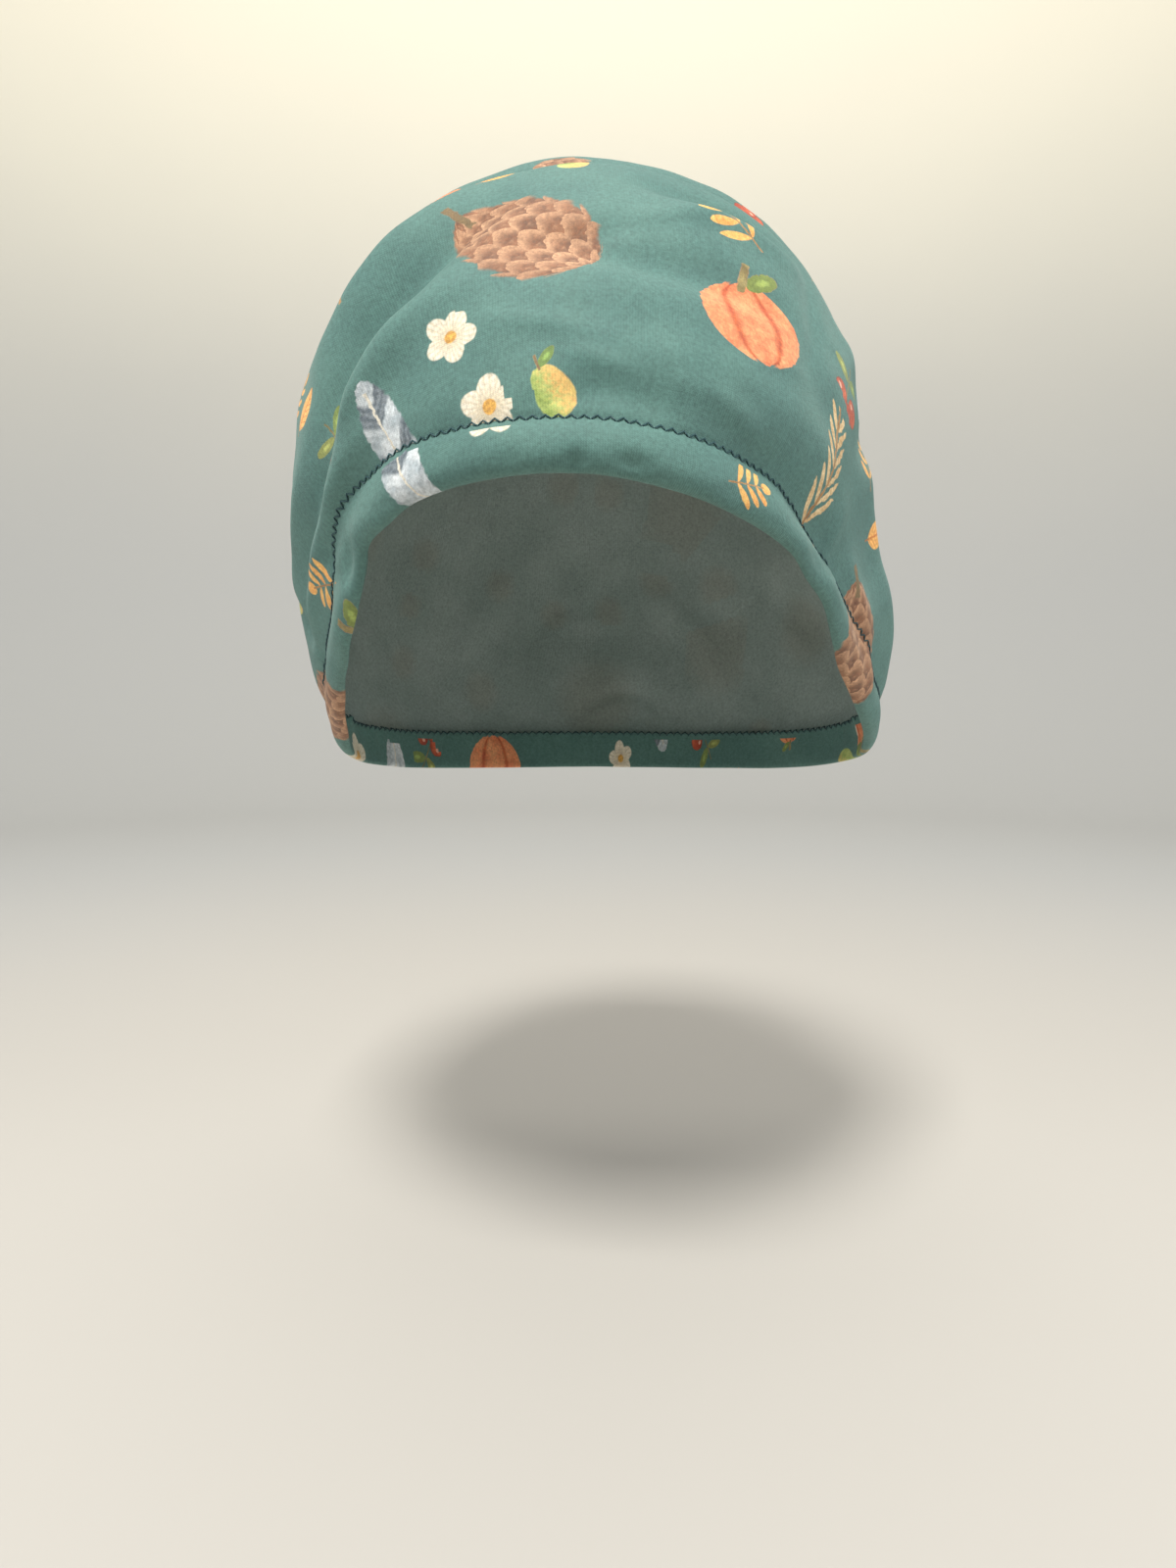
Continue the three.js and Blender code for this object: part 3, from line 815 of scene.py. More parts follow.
REPEAT = (
    Printed(Motif.CONE, 0.857, 0.119, 24 * MM, 0.7, 48),
    Printed(Motif.GOURD, 0.249, 0.479, 17 * MM, 1.0, 14),
    Printed(Motif.FEATHER, 0.633, 0.682, 24 * MM, 0.42, 18),
    Printed(Motif.WHEAT, 0.506, 0.335, 24 * MM, 0.36, 7),
    Printed(Motif.BERRIES, 0.525, 0.506, 11 * MM, 1.0, -6),
    Printed(Motif.BERRIES, 0.434, 0.881, 9 * MM, 1.0, 25),
    Printed(Motif.PEAR, 0.919, 0.736, 8.5 * MM, 0.9, 31),
    Printed(Motif.PEAR, 0.962, 0.394, 7.5 * MM, 0.9, -24),
    Printed(Motif.SPRIG, 0.215, 0.707, 11 * MM, 0.8, 59),
    Printed(Motif.SPRIG, 0.693, 0.501, 9.5 * MM, 0.8, 40),
    Printed(Motif.SPRIG, 0.292, 0.139, 8.5 * MM, 0.8, -74),
    Printed(Motif.BLOSSOM, 0.818, 0.719, 8 * MM, 1.0, -58),
    Printed(Motif.BLOSSOM, 0.764, 0.876, 7 * MM, 1.0, -9),
    Printed(Motif.GOURD, 0.1, 0.996, 8 * MM, 1.0, -12),
    Printed(Motif.LEAF, 0.819, 0.395, 8 * MM, 0.8, -44),
    Printed(Motif.LEAF, 0.367, 0.022, 7.5 * MM, 0.8, -74),
)


@dataclass(frozen=True)
class Repeat:
    """The print's repeat, with each second column dropped by half."""

    width: float = 142 * MM
    height: float = 122 * MM
    shift: Place = (0.0, 0.0)

    def assign(self, flat: Array) -> tuple[Array, Array]:
        """Give each flat place the motif it belongs to.

        That is the one with the least distance as a share of its outline. The place is told
        in the motif's own frame: turned upright and divided by its half size.

        Args:
            flat: Flat places on a grid whose rows close on themselves.

        Returns:
            For each place, its two coordinates in the motif and the motif's number, and a share
            that is 1 inside one motif's ground and 0 where two of them meet.
        """
        best = np.full(flat.shape[:2], np.inf)
        owner = np.zeros(flat.shape[:2])
        own = np.zeros((*flat.shape[:2], 3))
        for number, row in enumerate(REPEAT):
            across = flat[..., 0] - self.shift[0] - row.right * self.width
            rise = flat[..., 1] - self.shift[1] - row.up * self.height
            first = np.floor(across / self.width)
            for extra in (0, 1):
                column = first + extra
                drop = (column % 2) * self.height / 2
                level = np.round((rise - drop) / self.height)
                x = (across - column * self.width) / row.half
                y = (rise - drop - level * self.height) / row.half
                c, s = math.cos(math.radians(row.turn)), math.sin(math.radians(row.turn))
                local = np.stack([c * x + s * y, c * y - s * x, np.full_like(x, row.motif)], -1)
                distance = np.hypot(local[..., 0] / row.slim, local[..., 1])
                closer = distance < best
                best = np.where(closer, distance, best)
                tag = (column * COLUMN_TAG + level) * LEVEL_TAG + number
                owner = np.where(closer, tag, owner)
                own = np.where(closer[..., None], local, own)
        alone = np.ones(owner.shape, bool)
        for shift in (-1, 1):
            alone &= np.roll(owner, shift, axis=0) == owner
            alone[:, 1:-1] &= owner[:, 1 + shift:owner.shape[1] - 1 + shift] == owner[:, 1:-1]
        alone[1:-1] &= alone[:-2] & alone[2:]
        return own, alone.astype(float)


def add_object(name: str, data: bpy.types.ID) -> bpy.types.Object:
    """Add an object to the scene.

    Args:
        name: Its name.
        data: Its mesh, light or camera.

    Returns:
        The new object, at the origin.
    """
    made = bpy.data.objects.new(name, data)
    bpy.context.scene.collection.objects.link(made)
    return made


def closed_wall(name: str, loops: Array, flat: Array, repeat: Repeat, inside: Array,
                materials: list[bpy.types.Material]) -> bpy.types.Object:
    """Build one closed piece of cloth from a grid whose rows close on themselves.

    Row by row the grid goes over the outside, round one rim and back over the inside. Each
    end is closed by quads between a row and the row that lies under it.

    Args:
        name: The piece's name.
        loops: Points, an even number of rows by any number of columns.
        flat: Their flat places.
        repeat: The print that the cloth carries.
        inside: For each row, True where the quads up to the next row lie on the inside.
        materials: The outside's material and the inside's.

    Returns:
        The new object.
    """
    rows, columns = loops.shape[:2]
    index = np.arange(rows * columns).reshape(rows, columns)
    after = np.roll(index, -1, axis=0)
    skin = np.stack([index[:, :-1], index[:, 1:], after[:, 1:], after[:, :-1]], axis=-1)
    low = np.arange(rows // 2 - 1)
    pairs = [index[low], index[low + 1], index[rows - 2 - low], index[rows - 1 - low]]
    first = np.stack([p[:, 0] for p in pairs], axis=-1)
    last = np.stack([p[:, -1] for p in pairs[::-1]], axis=-1)
    faces = np.concatenate([skin.reshape(-1, 4), first, last])
    slots = np.zeros(len(faces), np.int32)
    slots[:skin.shape[0] * skin.shape[1]] = np.repeat(inside.astype(np.int32), columns - 1)

    mesh = bpy.data.meshes.new(name)
    mesh.vertices.add(rows * columns)
    mesh.vertices.foreach_set("co", loops.astype(np.float32).ravel())
    mesh.loops.add(faces.size)
    mesh.loops.foreach_set("vertex_index", faces.astype(np.int32).ravel())
    mesh.polygons.add(len(faces))
    mesh.polygons.foreach_set("loop_start", np.arange(0, faces.size, 4, dtype=np.int32))
    mesh.polygons.foreach_set("material_index", slots)
    mesh.polygons.foreach_set("use_smooth", np.ones(len(faces), bool))
    for material in materials:
        mesh.materials.append(material)
    mesh.update(calc_edges=True)
    mesh.set_sharp_from_angle(angle=SHARP_EDGE)

    layer = mesh.uv_layers.new(name="cloth")
    layer.data.foreach_set("uv", flat.reshape(-1, 2)[faces.ravel()].astype(np.float32).ravel())
    own, alone = repeat.assign(flat)
    place = mesh.attributes.new("motif_place", "FLOAT_VECTOR", "POINT")
    place.data.foreach_set("vector", own.astype(np.float32).ravel())
    share = mesh.attributes.new("motif_alone", "FLOAT", "POINT")
    share.data.foreach_set("value", alone.astype(np.float32).ravel())
    return add_object(name, mesh)


class Wire:
    """One value, colour or vector in a shader tree, for use in Python expressions."""

    def __init__(self, tree: "ShaderTree", socket: bpy.types.NodeSocket) -> None:
        """Wrap a node's output socket."""
        self.tree = tree
        self.socket = socket

    def _math(self, operation: str, *values: "Wire | float") -> "Wire":
        """Return a Math node's output for the given operation and values."""
        return self.tree.node("ShaderNodeMath", {"operation": operation}, values)

    def __add__(self, other: "Wire | float") -> "Wire":
        """Add."""
        return self._math("ADD", self, other)

    __radd__ = __add__

    def __sub__(self, other: "Wire | float") -> "Wire":
        """Subtract."""
        return self._math("SUBTRACT", self, other)

    def __rsub__(self, other: "Wire | float") -> "Wire":
        """Subtract from a number."""
        return self._math("SUBTRACT", other, self)

    def __mul__(self, other: "Wire | float") -> "Wire":
        """Multiply."""
        return self._math("MULTIPLY", self, other)

    __rmul__ = __mul__

    def __truediv__(self, other: "Wire | float") -> "Wire":
        """Divide."""
        return self._math("DIVIDE", self, other)

    def __rtruediv__(self, other: "Wire | float") -> "Wire":
        """Divide a number."""
        return self._math("DIVIDE", other, self)

    def __abs__(self) -> "Wire":
        """Drop the sign."""
        return self._math("ABSOLUTE", self)

    def __lt__(self, other: "Wire | float") -> "Wire":
        """Return 1 where it is less, otherwise 0."""
        return self._math("LESS_THAN", self, other)

    def __gt__(self, other: "Wire | float") -> "Wire":
        """Return 1 where it is greater, otherwise 0."""
        return self._math("GREATER_THAN", self, other)

    def call(self, operation: str, *others: "Wire | float") -> "Wire":
        """Return another Math operation on it, such as SINE, FRACT, FLOOR, MINIMUM or SQRT."""
        return self._math(operation, self, *others)

    def smooth(self, low: float, high: float) -> "Wire":
        """Rise smoothly from 0 at low to 1 at high, or fall where high is less."""
        settings = {"interpolation_type": "SMOOTHSTEP"}
        return self.tree.node("ShaderNodeMapRange", settings, {"Value": self, 1: low, 2: high})


class ShaderTree:
    """A material's node tree, built from expressions on wires."""

    def __init__(self, name: str) -> None:
        """Start a material with one Principled shader.

        Args:
            name: The material's name.
        """
        self.material = bpy.data.materials.new(name)
        self.material.use_nodes = True
        self.links = self.material.node_tree.links
        self.nodes = self.material.node_tree.nodes
        self.shader = self.nodes["Principled BSDF"]

    def node(self, kind: str, settings: dict[str, Any] | None = None, inputs: Any = (),
             output: int | str = 0) -> Wire:
        """Add any node.

        Args:
            kind: The node's type.
            settings: Its own settings, set before its sockets.
            inputs: Values or wires, in the order of the sockets or by socket name or number.
            output: The output to return.

        Returns:
            The chosen output.
        """
        made = self.nodes.new(kind)
        for name, value in (settings or {}).items():
            setattr(made, name, value)
        pairs = inputs.items() if isinstance(inputs, dict) else enumerate(inputs)
        for key, value in pairs:
            if isinstance(value, Wire):
                self.links.new(value.socket, made.inputs[key])
            else:
                made.inputs[key].default_value = value
        return Wire(self, made.outputs[output])

    def mix(self, factor: Wire, low: Wire | Colour, high: Wire | Colour) -> Wire:
        """Mix two colours.

        Args:
            factor: 0 for the first colour and 1 for the second.
            low: The first colour.
            high: The second colour.

        Returns:
            The mixed colour.
        """
        low, high = ((*c, 1.0) if isinstance(c, tuple) else c for c in (low, high))
        settings = {"data_type": "RGBA"}
        return self.node("ShaderNodeMix", settings, {0: factor, 6: low, 7: high}, 2)

    def scale(self, vector: Wire, value: Wire | float) -> Wire:
        """Scale a vector or a colour by a value."""
        return self.node("ShaderNodeVectorMath", {"operation": "SCALE"}, {0: vector, "Scale": value})

    def noise(self, vector: Wire, scale: float, detail: float = 2.0, roughness: float = 0.5) -> Wire:
        """Return smooth noise between 0 and 1, over a vector."""
        inputs = {"Vector": vector, "Scale": scale, "Detail": detail, "Roughness": roughness}
        return self.node("ShaderNodeTexNoise", None, inputs)

    def split(self, vector: Wire) -> tuple[Wire, Wire, Wire]:
        """Return a vector's three coordinates."""
        made = self.node("ShaderNodeSeparateXYZ", None, [vector])
        return tuple(Wire(self, made.socket.node.outputs[i]) for i in range(3))

    def attribute(self, name: str, output: str) -> Wire:
        """Return an output of the mesh's attribute of that name."""
        return self.node("ShaderNodeAttribute", {"attribute_name": name}, (), output)

    def place(self) -> Wire:
        """Return the place on the object, in metres."""
        return self.node("ShaderNodeTexCoord", None, (), "Object")

    def bump(self, height: Wire, strength: float, distance: float) -> None:
        """Raise the surface by a height between 0 and 1 times a distance."""
        inputs = {"Strength": strength, "Distance": distance, "Height": height}
        self.feed("Normal", self.node("ShaderNodeBump", None, inputs))

    def feed(self, socket: str, value: Wire | float | Colour) -> None:
        """Set one of the shader's sockets, or link a wire to it.

        Args:
            socket: The socket's name.
            value: A wire, a number or a colour.
        """
        if isinstance(value, Wire):
            self.links.new(value.socket, self.shader.inputs[socket])
        elif isinstance(value, tuple):
            self.shader.inputs[socket].default_value = (*value, 1.0)
        else:
            self.shader.inputs[socket].default_value = value


class Tones(NamedTuple):
    """A deep and a light tone of one colour."""

    deep: Colour
    light: Colour


PRINTED_GROUND = Tones((0.08, 0.172, 0.153), (0.094, 0.195, 0.17))
UNPRINTED_GROUND = Tones((0.30, 0.37, 0.35), (0.36, 0.43, 0.41))
THREAD = Tones((0.006, 0.03, 0.036), (0.03, 0.10, 0.11))
SCALE_SHADOW = Tones((0.16, 0.065, 0.035), (0.30, 0.13, 0.065))
SCALE_WOOD = Tones((0.42, 0.21, 0.11), (0.62, 0.36, 0.21))
GOURD_CREASE = Tones((0.46, 0.075, 0.03), (0.62, 0.14, 0.045))
GOURD_SKIN = Tones((0.80, 0.24, 0.10), (0.90, 0.40, 0.18))
GOURD_STEM = Tones((0.22, 0.16, 0.06), (0.40, 0.32, 0.13))
FEATHER_PALE = Tones((0.42, 0.47, 0.50), (0.74, 0.77, 0.78))
FEATHER_BAND = Tones((0.05, 0.06, 0.08), (0.14, 0.17, 0.20))
PEAR_GREEN = Tones((0.26, 0.36, 0.08), (0.52, 0.58, 0.18))
PEAR_BLUSH = Tones((0.66, 0.50, 0.16), (0.78, 0.42, 0.14))
OCHRE = Tones((0.76, 0.26, 0.05), (0.93, 0.58, 0.18))
TAN = Tones((0.55, 0.30, 0.11), (0.86, 0.66, 0.38))
TWIG = Tones((0.30, 0.13, 0.04), (0.48, 0.25, 0.09))
LEAF_VEIN = Tones((0.60, 0.16, 0.03), (0.72, 0.26, 0.05))
LEAF_BLADE = Tones((0.86, 0.36, 0.07), (0.93, 0.55, 0.17))
LEAF_STALK = Tones((0.36, 0.14, 0.04), (0.5, 0.22, 0.07))
BERRY_STALK = Tones((0.16, 0.13, 0.05), (0.30, 0.22, 0.08))
BERRY_RED = Tones((0.36, 0.04, 0.02), (0.66, 0.13, 0.05))
PETAL = Tones((0.66, 0.56, 0.40), (0.88, 0.83, 0.72))
POLLEN = Tones((0.50, 0.22, 0.04), (0.80, 0.46, 0.10))
CONE_STEM = (0.2, 0.13, 0.06)
PEAR_STEM = (0.22, 0.13, 0.06)
QUILL = (0.72, 0.66, 0.55)
GOURD_LEAF = (0.20, 0.25, 0.06)
PEAR_LEAF = (0.16, 0.24, 0.06)
RIGHT_BERRY_LEAF = (0.20, 0.26, 0.07)
LEFT_BERRY_LEAF = (0.26, 0.28, 0.08)
BERRY_RIM = (0.22, 0.02, 0.015)
BERRY_SHINE = (0.88, 0.50, 0.36)
PRINT_STAIN = (0.34, 0.30, 0.24)
SHEEN_TINT = (0.75, 0.9, 0.86)


class Paint(NamedTuple):
    """A painted shape: where it covers, and its colour."""

    cover: Wire
    colour: Wire | Colour


@dataclass
class MotifPainter:
    """Paints each motif in its own frame, where it reaches from -1 to 1.

    Wash and grain are the coarse and the fine unevenness of the paint. The numbers in a motif
    are places and sizes in its frame.
    """

    tree: ShaderTree
    x: Wire
    y: Wire
    wash: Wire
    grain: Wire

    def washed(self, tones: Tones) -> Wire:
        """Return two tones run together by the wash."""
        return self.tree.mix(self.wash, *tones)

    def grained(self, tones: Tones) -> Wire:
        """Return two tones broken up by the grain."""
        return self.tree.mix(self.grain, *tones)

    def ellipse(self, x: float, y: float, across: float, up: float, turn: float = 0.0) -> Wire:
        """Return how far inside an ellipse a place lies.

        Args:
            x: The middle's first coordinate.
            y: The middle's second coordinate.
            across: Half the first axis.
            up: Half the second axis.
            turn: The ellipse's turn in degrees.

        Returns:
            1 in the middle, 0 on the line and less outside.
        """
        c, s = math.cos(math.radians(turn)), math.sin(math.radians(turn))
        dx, dy = self.x - x, self.y - y
        along = (dx * c + dy * s) / across
        square = (dy * c - dx * s) / up
        return 1.0 - along * along - square * square

    def bow(self, level: Wire, least: float = 0.0) -> Wire:
        """Return a circle's half width at a level from -1 to 1, the root of 1 less its square."""
        return (1.0 - level * level).call("MAXIMUM", least).call("SQRT")

    def stroke(self, off: Wire, half: float, soft: float, low: float, high: float) -> Wire:
        """Return the cover of a stroke between two heights, by the distance off its line."""
        return (half - abs(off)).smooth(0.0, soft) * (self.y > low) * (self.y < high)

    def leaf(self, x: float, y: float, length: float, turn: float, colour: Colour) -> Paint:
        """Paint a small oval leaf with a paler middle.

        Args:
            x: Its middle's first coordinate.
            y: Its middle's second coordinate.
            length: Half its length.
            turn: Its turn in degrees.
            colour: Its colour.

        Returns:
            The painted shape.
        """
        inside = self.ellipse(x, y, length, length * 0.42, turn)
        pale = tuple(min(1.0, c * 1.8) for c in colour)
        return Paint(inside.smooth(0.0, 0.15), self.tree.mix(inside.smooth(0.75, 1.0), colour, pale))

    def over(self, under: Paint, top: Paint) -> Paint:
        """Lay one painted shape over another."""
        cover = under.cover.call("MAXIMUM", top.cover)
        return Paint(cover, self.tree.mix(top.cover, under.colour, top.colour))

    def cone(self) -> Paint:
        """Paint a fir cone, rows of overlapping scales on a tapered body with a short stem.

        Returns:
            The painted shape.
        """
        x, y = self.x, self.y
        body = self.bow((y + 0.08) / 0.88) * (0.56 - y * 0.15)
        side = x / (body + 0.02)
        lane = (y + 1.0) * 4.6
        column = side * 2.4 + lane.call("FLOOR").call("MODULO", 2.0) * 0.5
        dip = column.call("FRACT") - 0.5
        scale = (lane + dip * dip * 2.2).call("FRACT")
        cover = (body * (0.95 + scale * 0.12) - abs(x)).smooth(0.0, 0.05)
        lit = scale.smooth(0.1, 0.95) * (1.05 - abs(side) * 0.5)
        colour = self.tree.mix(lit, self.washed(SCALE_SHADOW), self.grained(SCALE_WOOD))
        stem = self.stroke(x - 0.03, 0.05, 0.02, 0.6, 0.98)
        return self.over(Paint(cover, colour), Paint(stem, CONE_STEM))

    def gourd(self) -> Paint:
        """Paint a ribbed gourd, with a stem and a leaf.

        Returns:
            The painted shape.
        """
        x, y = self.x, self.y
        inside = self.ellipse(0.0, -0.14, 0.9, 0.7)
        girth = self.bow((y + 0.14) / 0.7, 0.02) * 0.9
        around = (x / girth).call("MINIMUM", 1.0).call("MAXIMUM", -1.0).call("ARCSINE")
        lobe = abs((around * 3.5).call("COSINE"))
        cover = (inside + (lobe - 1.0) * 0.1).smooth(0.0, 0.08)
        lit = lobe.smooth(0.0, 0.55) * (0.6 + self.grain * 0.4)
        colour = self.tree.mix(lit, self.washed(GOURD_CREASE), self.washed(GOURD_SKIN))
        stem = self.stroke(x - 0.02 - (y - 0.5) * 0.3, 0.08, 0.03, 0.42, 0.84)
        painted = self.over(Paint(cover, colour), self.leaf(0.38, 0.62, 0.32, 22, GOURD_LEAF))
        return self.over(painted, Paint(stem, self.washed(GOURD_STEM)))

    def feather(self) -> Paint:
        """Paint a banded feather, barbs slanting up from a bent quill.

        Returns:
            The painted shape.
        """
        x, y = self.x, self.y
        off = x - (y * y) * 0.14 + 0.05
        blade = self.bow((y - 0.12) / 0.88) * 0.3
        slant = y - abs(off) * 0.9
        barb = (slant * 60.0 + self.wash * 4.0).call("SINE")
        cover = (blade + barb * 0.006 - abs(off)).smooth(0.0, 0.03)
        band = (slant * 11.0 + 0.8).call("SINE").smooth(-0.2, 0.6) * y.smooth(-0.5, 0.1)
        darkness = (band * 0.8 + barb * 0.1 + 0.05).call("MAXIMUM", 0.0)
        colour = self.tree.mix(darkness, self.washed(FEATHER_PALE), self.grained(FEATHER_BAND))
        return self.over(Paint(cover, colour), Paint(self.stroke(off, 0.022, 0.015, -1.0, 0.9), QUILL))

    def pear(self) -> Paint:
        """Paint a pear, two round fields run together, with a stem and a leaf.

        Returns:
            The painted shape.
        """
        x, y = self.x, self.y
        low, high = y + 0.34, y - 0.26
        flesh = 0.26 / (x * x + low * low + 0.02) + 0.1 / (x * x + high * high + 0.02)
        blush = (x + self.grain * 0.4).smooth(-0.1, 0.6)
        colour = self.tree.mix(blush, self.washed(PEAR_GREEN), self.washed(PEAR_BLUSH))
        fruit = Paint(flesh.smooth(0.92, 1.12), colour)
        painted = self.over(fruit, self.leaf(0.34, 0.72, 0.34, 25, PEAR_LEAF))
        stem = self.stroke(x - (y - 0.5) * 0.25, 0.05, 0.03, 0.5, 0.95)
        return self.over(painted, Paint(stem, PEAR_STEM))

    def ear(self, spread: float, lanes: float, slant: float, tones: Tones) -> Paint:
        """Paint a stem with pairs of leaflets or grains that slant up from it, and one at its tip.

        Args:
            spread: How far the lowest pair reaches out.
            lanes: Pairs for each unit of height.
            slant: How far a pair rises for each unit outwards.
            tones: The leaflets' tones.

        Returns:
            The painted shape.
        """
        x, y = self.x, self.y
        reach = (spread - y * spread * 0.4).call("MAXIMUM", 0.08)
        out = (abs(x) / reach).call("MINIMUM", 1.0)
        lane = (y - abs(x) * slant) * lanes
        width = (out * math.pi).call("SINE").call("MAXIMUM", 0.0).call("SQRT") * 0.37
        leaflet = (width - abs(lane.call("FRACT") - 0.5)).smooth(0.0, 0.1)
        cover = leaflet * (lane > -0.8 * lanes) * (lane < 0.4 * lanes) * (abs(x) > 0.02)
        tip = self.ellipse(0.0, 0.72, spread * 0.26, 0.24).smooth(0.0, 0.2)
        colour = self.tree.mix(self.wash * 0.5 + self.grain * 0.5, *tones)
        painted = Paint(cover.call("MAXIMUM", tip), colour)
        return self.over(painted, Paint(self.stroke(x, 0.03, 0.02, -0.98, 0.6), self.washed(TWIG)))

    def sprig(self) -> Paint:
        """Paint an ochre sprig of leaflets."""
        return self.ear(0.66, 2.5, 0.75, OCHRE)

    def wheat(self) -> Paint:
        """Paint a tan ear of wheat."""
        return self.ear(0.24, 5.0, 1.4, TAN)

    def single_leaf(self) -> Paint:
        """Paint one pointed orange leaf with its veins.

        Returns:
            The painted shape.
        """
        x, y = self.x, self.y
        level = (y - 0.1) / 0.88
        blade = (1.0 - level * level) * (0.52 - y * 0.16)
        between = abs(((y - abs(x) * 0.8) * 14.0).call("SINE")).smooth(0.12, 0.35)
        lit = between * abs(x).smooth(0.02, 0.06)
        colour = self.tree.mix(lit, self.washed(LEAF_VEIN), self.grained(LEAF_BLADE))
        stalk = Paint(self.stroke(x, 0.04, 0.02, -1.0, -0.6), self.washed(LEAF_STALK))
        return self.over(Paint((blade - abs(x)).smooth(0.0, 0.06), colour), stalk)

    def berries(self) -> Paint:
        """Paint three berries on their stalks, with two leaves.

        Returns:
            The painted shape.
        """
        x, y = self.x, self.y
        stalk = self.stroke(x - (y - 0.4) * 0.18, 0.04, 0.03, -0.5, 0.9)
        painted = Paint(stalk, self.washed(BERRY_STALK))
        painted = self.over(painted, self.leaf(0.4, 0.56, 0.44, 30, RIGHT_BERRY_LEAF))
        painted = self.over(painted, self.leaf(-0.4, 0.5, 0.4, 155, LEFT_BERRY_LEAF))
        red = self.washed(BERRY_RED)
        for across, up, size in ((-0.4, -0.3, 0.36), (0.38, -0.24, 0.34), (0.0, -0.62, 0.36)):
            inside = self.ellipse(across, up, size, size)
            shine = self.ellipse(across - size * 0.3, up + size * 0.35, size * 0.3, size * 0.22)
            skin = self.tree.mix(shine.smooth(0.0, 0.6) * 0.8, red, BERRY_SHINE)
            colour = self.tree.mix(inside.smooth(0.0, 0.35), BERRY_RIM, skin)
            painted = self.over(painted, Paint(inside.smooth(0.0, 0.12), colour))
        return painted

    def blossom(self) -> Paint:
        """Paint a cream blossom of five petals round an ochre middle.

        Returns:
            The painted shape.
        """
        x, y = self.x, self.y
        radius = (x * x + y * y).call("SQRT")
        around = y.call("ARCTAN2", x)
        edge = 0.66 + abs((around * 2.5).call("COSINE")) * 0.3
        vein = abs((around * 12.5 + self.wash * 2.0).call("SINE"))
        cream = self.tree.mix(vein * radius.smooth(0.15, 0.7) * 0.6, *PETAL)
        colour = self.tree.mix((0.24 - radius).smooth(0.0, 0.06), cream, self.grained(POLLEN))
        return Paint((edge - radius).smooth(0.0, 0.08), colour)

    def paint(self, motif: Motif) -> Paint:
        """Paint one motif.

        Args:
            motif: The motif that is asked for.

        Returns:
            The painted shape.
        """
        makers: dict[Motif, Callable[[], Paint]] = {
            Motif.CONE: self.cone,
            Motif.GOURD: self.gourd,
            Motif.FEATHER: self.feather,
            Motif.PEAR: self.pear,
            Motif.SPRIG: self.sprig,
            Motif.BERRIES: self.berries,
            Motif.BLOSSOM: self.blossom,
            Motif.WHEAT: self.wheat,
            Motif.LEAF: self.single_leaf,
        }
        return makers[motif]()


